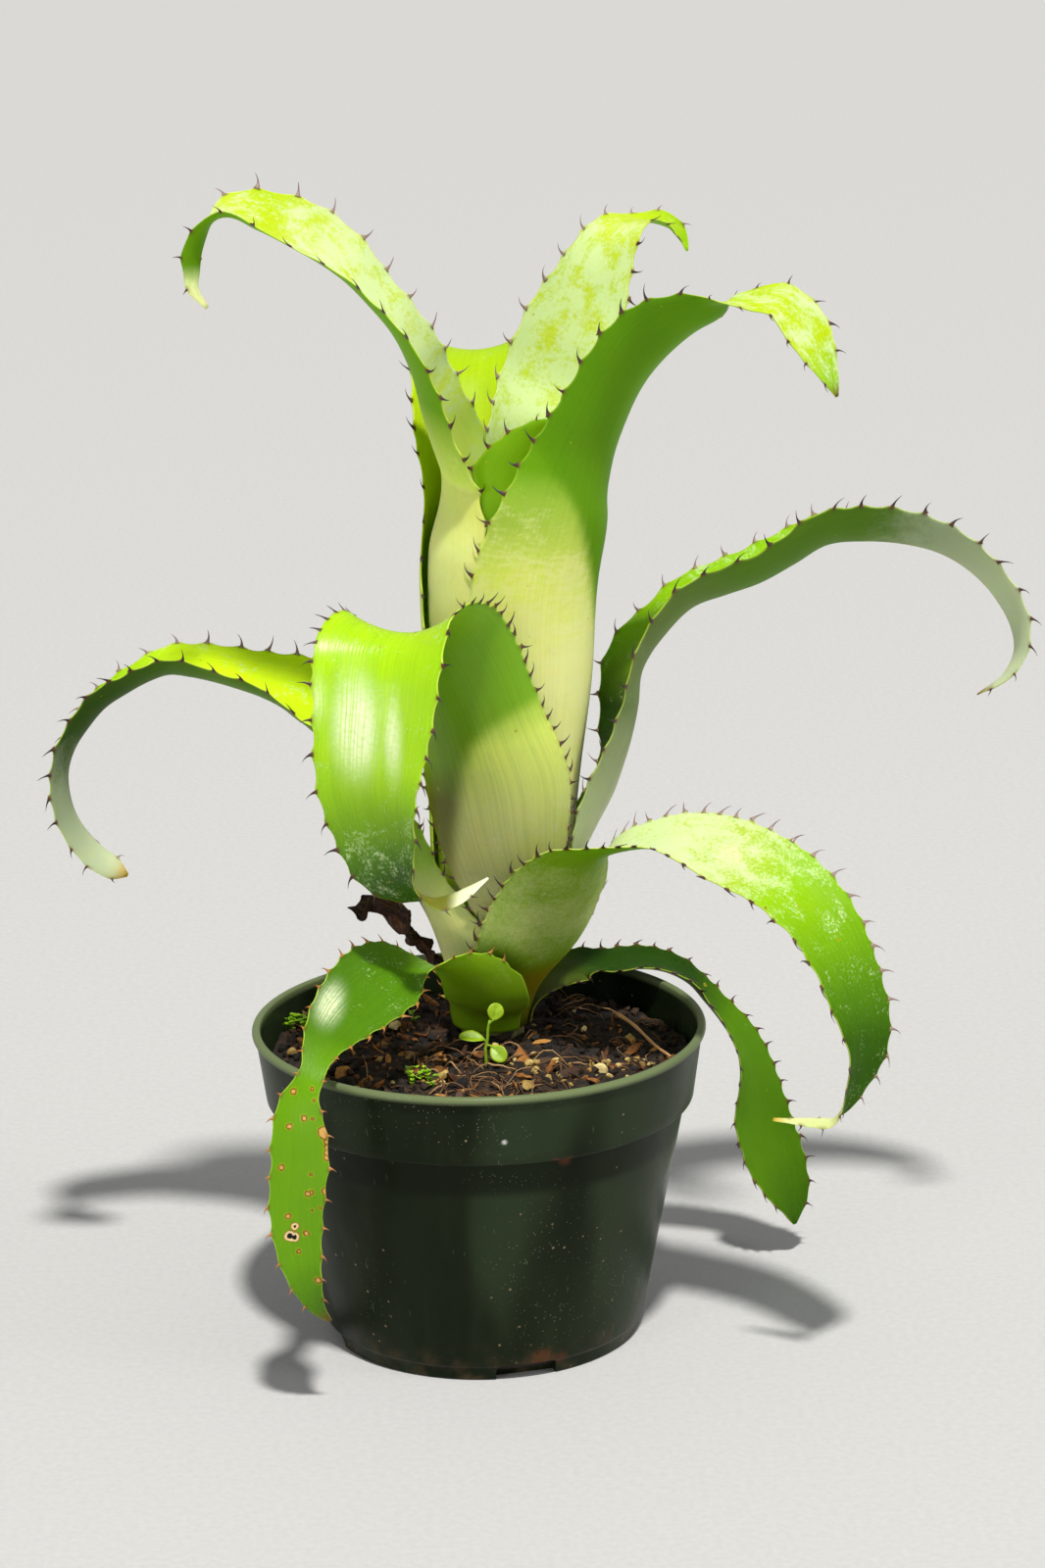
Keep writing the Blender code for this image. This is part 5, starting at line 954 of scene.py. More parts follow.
def pot_material():
    """Moulded olive plastic: a paler rim, faint upright bands of painted reflection, a strip of painted shade
    under the band, scratches, dried splashes and soil specks.
    """
    made = Nodes("pot plastic")
    height = made.split(made.places)[2]
    clouds = made.noise(scale=24, detail=4, roughness=0.6)
    drips = made.noise(made.stretched((60, 60, 6)), detail=4, roughness=0.6)
    # Painted reflection: faint upright lighter bands
    painted_reflection_bands = made.noise(made.stretched((26, 26, 5)), detail=2, roughness=0.4)
    colour = made.ramp(clouds, [(0.3, (0.0055, 0.0095, 0.0030)), (0.7, (0.0090, 0.0145, 0.0048))])
    colour = made.over(colour, painted_reflection_bands, 0.44, 0.62, 0.85, (0.024, 0.037, 0.017))
    colour = made.over(colour, drips, 0.5, 0.75, 0.35, (0.022, 0.032, 0.014))
    band_foot = BAND_FOOT * MM
    # Painted shade: a darker strip under the band's step
    painted_shade_under_band = made.times(made.step(height, 0.070, 0.074),
                            made.step(height, band_foot + 0.0003, band_foot - 0.0003))
    colour = made.mix(made.times(painted_shade_under_band, 0.7), colour, (0.005, 0.008, 0.003))
    rim_foot, rim_top = (POT_HEIGHT - 3.2) * MM, (POT_HEIGHT - 1.2) * MM
    colour = made.over(colour, height, rim_foot, rim_top, 0.85, (0.15, 0.19, 0.085))
    dirt = specks(made, 210, 0.12, made.noise(scale=42, detail=1), 0.52, 0.62)
    colour = made.mix(made.times(dirt, 0.8), colour, (0.22, 0.17, 0.10))
    dust = specks(made, 640, 0.16, made.noise(scale=18), 0.5, 0.7)
    colour = made.mix(made.times(dust, 0.55), colour, (0.30, 0.30, 0.24))
    for place, radius, stain in POT_STAINS:
        size = radius * MM
        away = made.distance(made.places, [part * MM for part in place])
        ragged = made.times(made.noise(scale=420, detail=5, roughness=0.7), size * 1.1)
        away = made.plus(made.plus(away, made.times(clouds, size * 0.9)), ragged)
        colour = made.mix(made.times(made.step(away, size * 1.9, size * 1.35), 0.9), colour, stain)
    low = made.step(height, 0.016, 0.0, 0.0, 0.55)
    soil_film = made.times(low, made.step(made.noise(scale=110, detail=5), 0.45, 0.7))
    colour = made.mix(soil_film, colour, (0.09, 0.055, 0.03))
    scratches = made.noise(made.stretched((900, 900, 22), (0.3, 0.5, 0.4)), detail=1)
    worn = made.step(made.noise(scale=30, detail=0), 0.5, 0.7)
    scratches = made.times(made.step(scratches, 0.70, 0.76), worn)
    colour = made.mix(made.times(scratches, 0.5), colour, (0.10, 0.13, 0.09))
    roughness = made.plus(made.step(clouds, 0.3, 0.7, 0.26, 0.40), made.times(dirt, 0.4))
    normal = made.bump(made.noise(scale=1500), 0.12, 0.00010)
    normal = made.bump(made.noise(scale=55), 0.25, 0.0012, normal)
    normal = made.bump(dirt, 0.5, 0.0003, normal)
    return made.surface(colour, roughness, normal, Specular_IOR_Level=0.08)


def soil_material():
    made = Nodes("potting mix")
    clods = made.noise(scale=170, detail=8, roughness=0.72)
    patches = made.noise(scale=42, detail=3)
    colour = made.ramp(clods, [(0.34, (0.003, 0.002, 0.0015)), (0.5, (0.012, 0.006, 0.003)),
                               (0.62, (0.050, 0.024, 0.009)), (0.76, (0.20, 0.095, 0.028))])
    colour = made.over(colour, patches, 0.5, 0.7, 0.6, made.tinted(colour, (2.4, 1.5, 0.7)))
    return made.surface(colour, made.step(clods, 0.3, 0.8, 0.95, 0.75), made.bump(clods, 1.0, 0.0018))


def grain_material(name):
    """Bark, wood, stone and roots: each lump's own shade from the mesh, and its grain."""
    stops, scale, roughness, stretch, depth = GRAINS[name]
    made = Nodes(name)
    grain = made.noise(made.stretched(stretch), scale=scale, detail=5, roughness=0.65)
    colour = made.ramp(made.plus(made.times(grain, 0.5), made.times(made.attribute("shade"), 0.5)), stops)
    return made.surface(colour, made.step(grain, 0.3, 0.7, roughness - 0.12, min(1.0, roughness + 0.1)),
                        made.bump(grain, 0.8, depth))


def soft_green_material(name, dark, light, scale):
    """Seedling and moss: thin, soft and lit through."""
    made = Nodes(name)
    veins = made.noise(scale=scale, detail=4)
    mixed = made.plus(made.times(veins, 0.6), made.times(made.attribute("shade"), 0.4))
    colour = made.ramp(mixed, [(0.3, dark), (0.7, light)])
    return made.surface(colour, made.step(veins, 0.3, 0.7, 0.38, 0.55), made.bump(veins, 0.4, 0.0003),
                        Subsurface_Weight=0.3, Subsurface_Radius=(0.5, 1.0, 0.15), Subsurface_Scale=0.0009)


def stem_material():
    made = Nodes("stem base")
    grain = made.noise(made.stretched((420, 420, 70)), detail=5, roughness=0.6)
    colour = made.ramp(grain, [(0.3, (0.07, 0.055, 0.02)), (0.55, (0.22, 0.21, 0.07)),
                               (0.75, (0.40, 0.36, 0.14))])
    return made.surface(colour, made.step(grain, 0.3, 0.7, 0.55, 0.8), made.bump(grain, 0.8, 0.0006))


# Forms and pieces

def circle(radius, z, sides, centre=(0.0, 0.0)):
    """Points of a level circle."""
    angles = [2 * math.pi * side / sides for side in range(sides)]
    return [(centre[0] + radius * math.cos(angle), centre[1] + radius * math.sin(angle), z)
            for angle in angles]


def ring_quads(start, rings, sides):
    """Quads that join each ring of points to the next one."""
    quads = []
    for ring in range(rings - 1):
        for side in range(sides):
            near = start + ring * sides + side
            far = start + ring * sides + (side + 1) % sides
            quads.append((near, far, far + sides, near + sides))
    return quads


def tube_faces(start, rings, sides):
    """Faces of a closed form whose points are rings, from the bottom one to the top one."""
    last = start + (rings - 1) * sides
    caps = [tuple(reversed(range(start, start + sides))), tuple(range(last, last + sides))]
    return ring_quads(start, rings, sides) + caps


def tube(path, radii, sides):
    """Points and faces of a closed tube along a path."""
    points = []
    reference = Vector((0.3, 0.5, 0.8))
    for index, point in enumerate(path):
        ahead = path[min(index + 1, len(path) - 1)] - path[max(index - 1, 0)]
        first = ahead.cross(reference).normalized()
        second = ahead.cross(first).normalized()
        for side in range(sides):
            angle = 2 * math.pi * side / sides
            points.append(point + (first * math.cos(angle) + second * math.sin(angle)) * radii[index])
    return points, tube_faces(0, len(path), sides)


def arc(centre, radius, start, end, parts):
    """(z, radius) points along an arc whose centre is a (z, radius) pair. Angles run from outwards to up."""
    angles = [math.radians(start + (end - start) * part / parts) for part in range(parts + 1)]
    return [(centre[0] + radius * math.sin(angle), centre[1] + radius * math.cos(angle)) for angle in angles]


def interpolated(table, z):
    """The columns of a table of (z, value, ...) rows, read at a height."""
    levels, *columns = zip(*table)
    return [float(np.interp(z, levels, column)) for column in columns]


def new_piece(name, points, faces, finish, attributes, smooth=True):
    """A piece from points in millimetres. Attributes are by point: numbers, or colours in threes."""
    mesh = bpy.data.meshes.new(name)
    mesh.from_pydata([tuple(co) for co in np.asarray(points, float) * MM], [], faces)
    mesh.materials.append(finish)
    for key, values in attributes.items():
        values = np.asarray(values, np.float32)
        if values.ndim == 2:
            colours = np.concatenate([values, np.ones((len(values), 1), np.float32)], axis=1)
            mesh.attributes.new(key, "FLOAT_COLOR", "POINT").data.foreach_set("color", colours.ravel())
        else:
            mesh.attributes.new(key, "FLOAT", "POINT").data.foreach_set("value", values)
    if smooth:
        mesh.shade_smooth()
    piece = add_object(name, mesh)
    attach(piece, "root")
    return piece


class Cluster:
    """Many small closed forms that make one piece, each point with a shade."""

    def __init__(self):
        self.points, self.faces, self.shades = [], [], []

    def add(self, points, faces, shades):
        start = len(self.points)
        self.points += points
        self.faces += [tuple(start + corner for corner in face) for face in faces]
        self.shades += shades if isinstance(shades, list) else [shades] * len(points)

    def piece(self, name, finish, slot, smooth=True):
        return new_piece(name, self.points, self.faces, finish, {"shade": self.shades}, smooth)


# Leaves

def smooth_rows(stations, places):
    """Rows read from a smooth curve through the stations. A place is a station's number plus the share of
    the way to the next one."""
    stations = np.array(stations)
    steps = np.linalg.norm(np.diff(stations[:, :3], axis=0), axis=1)
    slopes = np.gradient(stations, np.concatenate([[0.0], np.cumsum(steps)]), axis=0)
    rows = []
    for place in places:
        index = min(int(place), len(stations) - 2)
        share = place - index
        square, cube = share ** 2, share ** 3
        rows.append((2 * cube - 3 * square + 1) * stations[index]
                    + (3 * square - 2 * cube) * stations[index + 1]
                    + (cube - 2 * square + share) * steps[index] * slopes[index]
                    + (cube - square) * steps[index] * slopes[index + 1])
    return np.array(rows)


def eased(values):
    """Values by row with their kinks rounded off, the first and last rows kept."""
    values = np.array(values, float)
    for _ in range(EASING):
        values[1:-1] = 0.25 * values[:-2] + 0.5 * values[1:-1] + 0.25 * values[2:]
    return values


def run_along(points):
    """The length of a line of points up to each of them."""
    return np.concatenate([[0.0], np.cumsum(np.linalg.norm(np.diff(points, axis=0), axis=1))])


def drift(place):
    """A vector of plain noise, since noise_vector is seeded by the clock."""
    return Vector([noise.noise(place + Vector(offset)) for offset in DRIFT_OFFSETS])


def sheath_station(leaf, z):
    """Where the sheath's middle line is at a height, as a station whose section is level."""
    turn, spread = interpolated(leaf["sheath"], z) if "sheath" in leaf else (leaf["turn"], leaf["spread"])
    turn = math.radians(turn)
    x, y = interpolated(AXIS, z)
    radius = interpolated(TUBE, z)[0] - SHELL_STEP * leaf["shell"]
    width = radius * math.radians(spread)
    return [x + radius * math.cos(turn), y + radius * math.sin(turn), z, width, spread,
            -math.cos(turn), -math.sin(turn), 0.0, 0.0]


class Blade:
    """One leaf's middle surface, as rows of frames from its foot to its tip, and where its spines stand."""

    def __init__(self, name, leaf, seed):
        self.name = name
        self.leaf = leaf
        self.seed = seed
        self.draw = random.Random(seed)
        starts, leaves = leaf["starts_at"], leaf["leaves_at"]
        heights = [starts] + [z for z in SHEATH_LEVELS if starts + LEAST_STEP / 2 < z <= leaves]
        if leaves - heights[-1] > LEAST_STEP:
            heights.append(leaves)
        stations = [sheath_station(leaf, z) for z in heights]
        for number, (x, y, z, width, spread, face) in enumerate(leaf["blade"]):
            freed = min(1.0, 0.5 + 0.5 * number)
            stations.append([x, y, z, width, spread, *Vector(face).normalized(), freed])
        first_fine = (leaf["spines_above"] or starts) - FINE_BELOW_SPINES
        places = []
        for index, (near, far) in enumerate(zip(stations, stations[1:])):
            fine = max(near[2], far[2]) > first_fine or index >= len(heights) - 1
            parts = max(1, math.ceil(math.dist(near[:3], far[:3]) / (FINE_ROW if fine else COARSE_ROW)))
            places += [index + part / parts for part in range(parts)]
        places.append(len(stations) - 1)
        self.set_frames(smooth_rows(stations, places))
        self.place_spines()

    def set_frames(self, rows):
        """Each row's middle, its directions along and across the leaf, and the way its upper face looks."""
        tangents = np.gradient(rows[:, :3], axis=0)
        tangents /= np.linalg.norm(tangents, axis=1, keepdims=True)
        self.freed = np.clip(rows[:, 8], 0.0, 1.0)
        freed = self.freed[:, None]
        widths, spreads = eased(rows[:, 3:5]).T
        self.width = np.maximum(widths, TIP_WIDTH)
        self.half_angle = np.radians(spreads) / 2
        self.middle = [Vector(row[:3]) for row in rows]
        self.along, self.face, self.across = [], [], []
        for along, face in zip(eased(np.array(UP) * (1 - freed) + tangents * freed), eased(rows[:, 5:8])):
            along = Vector(along).normalized()
            face = Vector(face)
            face = (face - along * face.dot(along)).normalized()
            self.along.append(along)
            self.face.append(face)
            self.across.append(along.cross(face))
        self.run = run_along(rows[:, :3])

    def point(self, row, side):
        """The middle surface's point at a share of the half width: -1 is one margin and 1 is the other."""
        half_angle = self.half_angle[row]
        radius = self.width[row] / (2 * half_angle)
        angle = half_angle * side
        return (self.middle[row] + self.across[row] * (radius * math.sin(angle))
                + self.face[row] * (radius * (1 - math.cos(angle))))

    def place_spines(self):
        """Rows where a spine stands, by the gaps along each margin, and the margin's shape between them."""
        count = len(self.middle)
        self.spine_rows = {-1: [], 1: []}
        self.scallop = {-1: np.zeros(count), 1: np.zeros(count)}
        self.thorn = {-1: np.zeros(count), 1: np.zeros(count)}
        above = self.leaf["spines_above"]
        if above is None:
            return
        for side in (-1, 1):
            edge = [self.point(row, side) for row in range(count)]
            run = run_along(np.array(edge))
            first = next(row for row in range(count) if edge[row].z > above or row > count // 2)
            place = run[first] + self.draw.uniform(*FIRST_SPINE) + BARE_MARGIN.get((self.name, side), 0.0)
            feet = []
            while place < run[-1] - BARE_TIP:
                feet.append(place)
                gap, = interpolated(SPINE_GAPS[self.name], place / run[-1])
                place += gap * self.draw.uniform(*GAP_CHANGE)
            self.spine_rows[side] = [float(np.interp(foot, run, range(count))) for foot in feet]
            for near, far in zip([feet[0] - SCALLOP_END] + feet, feet + [feet[-1] + SCALLOP_END]):
                inside = (run >= near) & (run <= far)
                share = (run[inside] - near) / (far - near)
                self.scallop[side][inside] = (4 * share * (1 - share)) ** 0.7
            for foot in feet:
                near_foot = np.clip(1 - abs(run - foot) / THORN_REACH, 0, 1)
                self.thorn[side] = np.maximum(self.thorn[side], near_foot)

    def edge_depth(self, row, side):
        """How far the margin draws back between its spines, as a share of the half width."""
        depth = min(SCALLOP_DEPTH, 0.06 * self.width[row])
        return depth * self.scallop[side][row] / (self.width[row] / 2)

    def sheet(self):
        """Margin shares of the columns, and points of the middle surface by row, waved and crumpled."""
        sides = np.linspace(-1, 1, COLUMNS + 1)
        # The columns stand closer together towards the margins
        sides = np.sign(sides) * (1 - (1 - np.abs(sides)) ** 1.25)
        dried = self.leaf["slot"] == "dried"
        offset = Vector((self.seed * 7.3, self.seed * 3.1, 0.0))
        grid = []
        for row, (run, free, half_angle) in enumerate(zip(self.run, self.freed, self.half_angle)):
            taper = min(1.0, self.width[row] / WAVE_FULL_WIDTH)
            line = []
            for side in sides:
                pull = self.edge_depth(row, 1 if side > 0 else -1)
                point = self.point(row, side * (1 - pull * abs(side) ** 5))
                slow = noise.noise(Vector((run / SLOW_WAVE, side * 1.2, 0)) + offset)
                quick = noise.noise(Vector((run / QUICK_WAVE, side * 0.6, 5)) + offset)
                lift = (0.12 + 0.55 * free) * taper * slow + 0.9 * free * taper * abs(side) ** 4 * quick
                angle = half_angle * side
                normal = self.face[row] * math.cos(angle) - self.across[row] * math.sin(angle)
                point = point + normal * lift
                if dried and point.z > DRIED_FROM:
                    rough = min(1.0, (point.z - DRIED_FROM) / 8.0)
                    for size, strength in CRUMPLES:
                        point = point + drift(point / size) * (strength * rough)
                line.append(point)
            grid.append(line)
        return sides, grid


def sheet_normals(grid):
    values = np.array([[tuple(point) for point in line] for line in grid])
    normals = np.cross(np.gradient(values, axis=1), np.gradient(values, axis=0))
    return values, normals / np.linalg.norm(normals, axis=2, keepdims=True)


def colours_at(values, places, colours):
    """Colours mixed between stops, read at many values."""
    return np.stack([np.interp(values, places, channel) for channel in zip(*colours)], axis=-1)


def looks_at(shares, stops):
    """The upper and lower colours and the scurf above and below, at shares of the leaf's length."""
    places, upper, lower, above, below = zip(*stops)
    return (colours_at(shares, places, upper), colours_at(shares, places, lower),
            np.interp(shares, places, above), np.interp(shares, places, below))


def painted_shadow_share(edge, points):
    """How far points lie inside a painted shadow, past its edge line, as a share from 0 to 1, by their x and
    z.
    """
    nearest = np.full(len(points), np.inf)
    signed = np.zeros(len(points))
    for start, end in zip(edge["line"], edge["line"][1:]):
        along = np.subtract(end, start)
        offset = points[:, [0, 2]] - start
        share = np.clip(offset @ along / (along @ along), 0, 1)
        away = np.linalg.norm(offset - share[:, None] * along, axis=1)
        side = np.sign(along[0] * offset[:, 1] - along[1] * offset[:, 0])
        closer = away < nearest - 1e-6
        nearest[closer] = away[closer]
        signed[closer] = (away * side)[closer]
    rise = np.clip(0.5 + signed * edge["side"] / (2 * edge["soft"]), 0, 1)
    return rise * rise * (3 - 2 * rise)


def leaf_attributes(blade, sides, above, below):
    """What the leaf's material reads: values at the upper face's points, then at the lower face's."""
    rows, columns, count = len(blade.run), len(sides), len(above)
    shares = np.repeat(blade.run / blade.run[-1], columns)
    upper, lower, scurf_above, scurf_below = looks_at(shares, LEAF_LOOKS[blade.name])
    # Painted shadow: past the edge line the lower face takes the shaded tones and loses its scurf
    if blade.name in PAINTED_SHADOW_EDGES:
        edge = PAINTED_SHADOW_EDGES[blade.name]
        shadowed = painted_shadow_share(edge, below)[:, None]
        lower = lower * (1 - shadowed) + colours_at(below[:, 2], *zip(*edge["shadow_tones"])) * shadowed
        scurf_below = scurf_below * (1 - shadowed[:, 0])
    sheen = np.zeros(count)
    # Painted sheen lies only where the upper face isn't turned to the back
    facing = np.repeat([face.y for face in blade.face], columns) < 0.1
    for (x, z), (reach_x, reach_z), strength in PAINTED_SHEENS.get(blade.name, ()):
        spread = ((above[:, 0] - x) / reach_x) ** 2 + ((above[:, 2] - z) / reach_z) ** 2
        sheen = np.maximum(sheen, strength * np.exp(-spread) * facing)
    margin = np.tile(np.abs(sides), rows)
    half_width = np.repeat(blade.width, columns) / 2
    by_side = [np.repeat(blade.thorn[side], columns) for side in (1, -1)]
    thorn = np.where(np.tile(sides, rows) > 0, *by_side)
    thorn = thorn * np.clip(((margin - 1) * half_width + THORN_DEPTH) / THORN_DEPTH, 0, 1)
    return {
        "tone": np.concatenate([upper, lower]),
        "scurf": np.concatenate([scurf_above, scurf_below]),
        "under": np.repeat([0.0, 1.0], count),
        "margin": np.tile(1 - (1 - margin) * RIM_SHARE.get(blade.name, 1.0), 2),
        "thorn": np.tile(thorn, 2),
        "sheen": np.concatenate([sheen, np.zeros(count)]),
    }


def shell_faces(rows, columns):
    """Faces of a closed sheet whose points are an upper grid and then a lower one."""
    count = rows * columns
    faces = []
    for row in range(rows - 1):
        for near in range(row * columns, (row + 1) * columns - 1):
            far = near + columns
            faces.append((near, near + 1, far + 1, far))
            faces.append((count + near, count + far, count + far + 1, count + near + 1))
    last_row = count - columns
    border = list(range(columns - 1)) + list(range(columns - 1, count - 1, columns))
    border += list(range(count - 1, last_row, -1)) + list(range(last_row, 0, -columns))
    for near, far in zip(border, border[1:] + border[:1]):
        faces.append((near, count + near, count + far, far))
    return faces


def make_leaf(blade, finish):
    """The blade's piece. Also the points and normals of its middle surface, for its spines."""
    sides, grid = blade.sheet()
    middle, normals = sheet_normals(grid)
    profile = LEAF_THICKNESS + (EDGE_THICKNESS - LEAF_THICKNESS) * np.abs(sides) ** 3
    thinned = np.clip(blade.width / FULL_THICKNESS_WIDTH, THINNEST, 1.0)
    half = normals * (0.5 * profile[None, :, None] * thinned[:, None, None])
    above, below = (middle + half).reshape(-1, 3), (middle - half).reshape(-1, 3)
    piece = new_piece(blade.name + "_blade", np.concatenate([above, below]), shell_faces(*middle.shape[:2]),
                      finish, leaf_attributes(blade, sides, above, below))
    across = np.tile((sides + 1) / 2, 2 * len(middle))
    along = np.tile(np.repeat(blade.run * MM, len(sides)), 2) + blade.seed
    uv_map = piece.data.uv_layers.new(name="leaf_map")
    corners = np.empty(len(piece.data.loops), np.int32)
    piece.data.loops.foreach_get("vertex_index", corners)
    places = np.stack([across[corners], along[corners]], axis=1)
    uv_map.data.foreach_set("uv", places.astype(np.float32).ravel())
    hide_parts(blade.name)
    return middle, normals


def make_spines(blade, middle, normals, finish):
    """One curved, flattened horn for each spine, its foot sunk a little into the margin."""
    points, faces, rise, dry = [], [], [], []
    draw = blade.draw
    last = middle.shape[1] - 1
    scale = SPINE_SCALE.get(blade.name, 1.0)
    for side in (-1, 1):
        edge, inner = (last, last - 3) if side > 0 else (0, 3)
        for place in blade.spine_rows[side]:
            row = min(int(place), len(middle) - 2)
            share = place - row
            foot, inside = [Vector(middle[row, column] * (1 - share) + middle[row + 1, column] * share)
                            for column in (edge, inner)]
            face = Vector(normals[row, edge])
            ahead = Vector(middle[row + 1, edge] - middle[row, edge]).normalized()
            outward = foot - inside
            outward = (outward - ahead * outward.dot(ahead)).normalized()
            width = blade.width[row]
            length = draw.uniform(*SPINE_LENGTH) * min(1.0, 0.45 + width / 55) * scale
            broad = draw.uniform(*SPINE_FOOT) * min(1.0, 0.5 + width / 60)
            lean = math.radians(draw.uniform(*SPINE_LEAN))
            curl = math.radians(draw.uniform(*SPINE_CURL))
            lift = draw.uniform(*SPINE_LIFT)
            start = len(points)
            centre = foot - outward * (SPINE_SUNK * length)
            for ring in range(SPINE_RINGS):
                t = ring / (SPINE_RINGS - 1)
                size = broad * (0.34 * (1 - t) ** 0.8 + 0.66 * (1 - t) ** 5) + 0.04
                thick = 0.42 + 0.45 * t
                for corner in range(SPINE_SIDES):
                    angle = 2 * math.pi * corner / SPINE_SIDES
                    points.append(centre + ahead * (size * math.cos(angle))
                                  + face * (size * thick * math.sin(angle)))
                    rise.append(t)
                    dry.append(1.0 if DRY_SPINES.get(blade.name) == side else 0.0)
                bend = lean + curl * t
                centre = centre + (outward * math.cos(bend) + ahead * math.sin(bend)
                                   + face * (2 * lift * t)) * (length / (SPINE_RINGS - 1))
            horn = tube_faces(start, SPINE_RINGS, SPINE_SIDES)
            faces += horn if side < 0 else [quad[::-1] for quad in horn]
    new_piece(blade.name + "_spines", points, faces, finish, {"rise": rise, "dry": dry})


def make_leaves():
    finishes = {name: leaf_material(**settings) for name, settings in LEAF_FINISHES.items()}
    finishes["dried"] = dried_material()
    horn, tan_horn = spine_material("spine", *HORN), spine_material("tan spine", *TAN_HORN)
    for number, (name, leaf) in enumerate(LEAVES.items()):
        blade = Blade(name, leaf, number + 1)
        spotted = name == "leaf_low_left"
        middle, normals = make_leaf(blade, finishes["spotted" if spotted else leaf["slot"]])
        if leaf["spines_above"] is not None:
            make_spines(blade, middle, normals, tan_horn if spotted else horn)


# Pot

def body_radius(z):
    """Outer radius of the pot's tapered wall below the band."""
    return BASE_RADIUS + (BODY_TOP_RADIUS - BASE_RADIUS) * z / BAND_FOOT


def pot_profile():
    """(z, radius) points of the pot from its foot up the outside, over the lip and down the inside."""
    step_radius = body_radius(FOOT_HEIGHT)
    band_top_radius = RIM_RADIUS - LIP
    rim_inside = RIM_RADIUS - LIP - WALL
    profile = [(0.0, BASE_RADIUS - 1.2)] + arc((1.0, BASE_RADIUS - 1.0), 1.0, -80, 0, 4)
    profile += [(FOOT_HEIGHT - 0.5, body_radius(FOOT_HEIGHT - 0.5)), (FOOT_HEIGHT, step_radius + 0.05),
                (FOOT_HEIGHT + 0.4, step_radius + 0.5), (FOOT_HEIGHT + 1.0, step_radius + 0.75)]
    for part in range(1, 10):
        z = FOOT_HEIGHT + 1.0 + (BAND_FOOT - FOOT_HEIGHT - 3.0) * part / 9
        profile.append((z, body_radius(z) + 0.6 * (1 - part / 9)))
    profile += [(BAND_FOOT - 0.9, BODY_TOP_RADIUS - 0.2), (BAND_FOOT - 0.55, BODY_TOP_RADIUS + 0.3),
                (BAND_FOOT - 0.35, BAND_FOOT_RADIUS - 0.9), (BAND_FOOT, BAND_FOOT_RADIUS - 0.25),
                (BAND_FOOT + 0.4, BAND_FOOT_RADIUS)]
    for part in range(1, 7):
        profile.append((BAND_FOOT + 0.4 + (BAND_HEIGHT - 4.2) * part / 6,
                        BAND_FOOT_RADIUS + (band_top_radius - BAND_FOOT_RADIUS) * part / 6))
    profile += [(POT_HEIGHT - 3.1, band_top_radius + 0.1), (POT_HEIGHT - 2.7, RIM_RADIUS - 0.5)]
    profile += arc((POT_HEIGHT - LIP, RIM_RADIUS - LIP), LIP, -40, 90, 8)
    profile += arc((POT_HEIGHT - 1.0, rim_inside + 1.0), 1.0, 90, 180, 5)
    return profile + [
        (POT_HEIGHT - 4.0, rim_inside), (BAND_FOOT + WALL, BAND_FOOT_RADIUS - WALL),
        (BAND_FOOT, body_radius(BAND_FOOT) - WALL), (FLOOR + 1.5, body_radius(FLOOR + 1.5) - WALL),
        (FLOOR, body_radius(FLOOR) - WALL - 1.5)]


def notch_block(notch):
    """Points and faces of the block that cuts one drain notch, its upper corners rounded."""
    half = NOTCH_WIDTH / 2
    outline = [(-half, -NOTCH_HEIGHT), (half, -NOTCH_HEIGHT)]
    for middle, first in ((half - NOTCH_ROUND, 0), (NOTCH_ROUND - half, 90)):
        corner = arc((NOTCH_HEIGHT - NOTCH_ROUND, middle), NOTCH_ROUND, first, first + 90, 3)
        outline += [(y, z) for z, y in corner]
    angle = math.radians(NOTCH_TURN) + 2 * math.pi * notch / NOTCHES
    cos, sin = math.cos(angle), math.sin(angle)
    points = [(cos * x - sin * y, sin * x + cos * y, z)
              for x in (BASE_RADIUS - NOTCH_DEPTH, BASE_RADIUS + NOTCH_DEPTH) for y, z in outline]
    return points, tube_faces(0, 2, len(outline))


def cut_notches(pot):
    group = bpy.data.collections.new("notches")
    bpy.context.scene.collection.children.link(group)
    for notch in range(NOTCHES):
        points, faces = notch_block(notch)
        mesh = bpy.data.meshes.new("notch")
        mesh.from_pydata([Vector(point) * MM for point in points], [], faces)
        group.objects.link(bpy.data.objects.new(f"notch_{notch}", mesh))
    boolean = pot.modifiers.new("notches", "BOOLEAN")
    boolean.operation = "DIFFERENCE"
    boolean.operand_type = "COLLECTION"
    boolean.collection = group
    boolean.solver = "EXACT"
    bpy.context.view_layer.update()
    result = bpy.data.meshes.new_from_object(pot.evaluated_get(bpy.context.evaluated_depsgraph_get()))
    pot.modifiers.clear()
    pot.data = result
    for cutter in list(group.objects):
        bpy.data.objects.remove(cutter)
    bpy.data.collections.remove(group)


def make_pot():
    """The moulded pot, a little out of round towards its rim, with notches in its foot."""
    draw = random.Random(3)
    bends = [(draw.uniform(0, 2 * math.pi), draw.uniform(*POT_BEND), order) for order in (2, 3, 5)]
    profile = pot_profile()
    points = []
    for z, radius in profile:
        for x, y, _ in circle(radius, z, POT_SIDES):
            angle = math.atan2(y, x)
            push = sum(size * math.cos(order * angle + phase) for phase, size, order in bends)
            scale = 1 + push * z / POT_HEIGHT / RIM_RADIUS
            points.append((x * scale, y * scale, z))
    pot = new_piece("pot_shell", points, tube_faces(0, len(profile), POT_SIDES), pot_material(), {})
    cut_notches(pot)
    pot.data.shade_smooth()
    pot.data.set_sharp_from_angle(angle=math.radians(38))
    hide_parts("pot")


# Soil and what lies on it

def soil_height(x, y):
    """The soil's surface: level near the plant, dished towards the back right, with slow waves."""
    dish = SOIL_DISH * max(0.0, (x * 0.5 + y * 0.8) / RIM_RADIUS)
    return SOIL_LEVEL - dish + SOIL_LUMP * (math.sin(x / 9.0) * math.cos(y / 11.0) - 0.3)


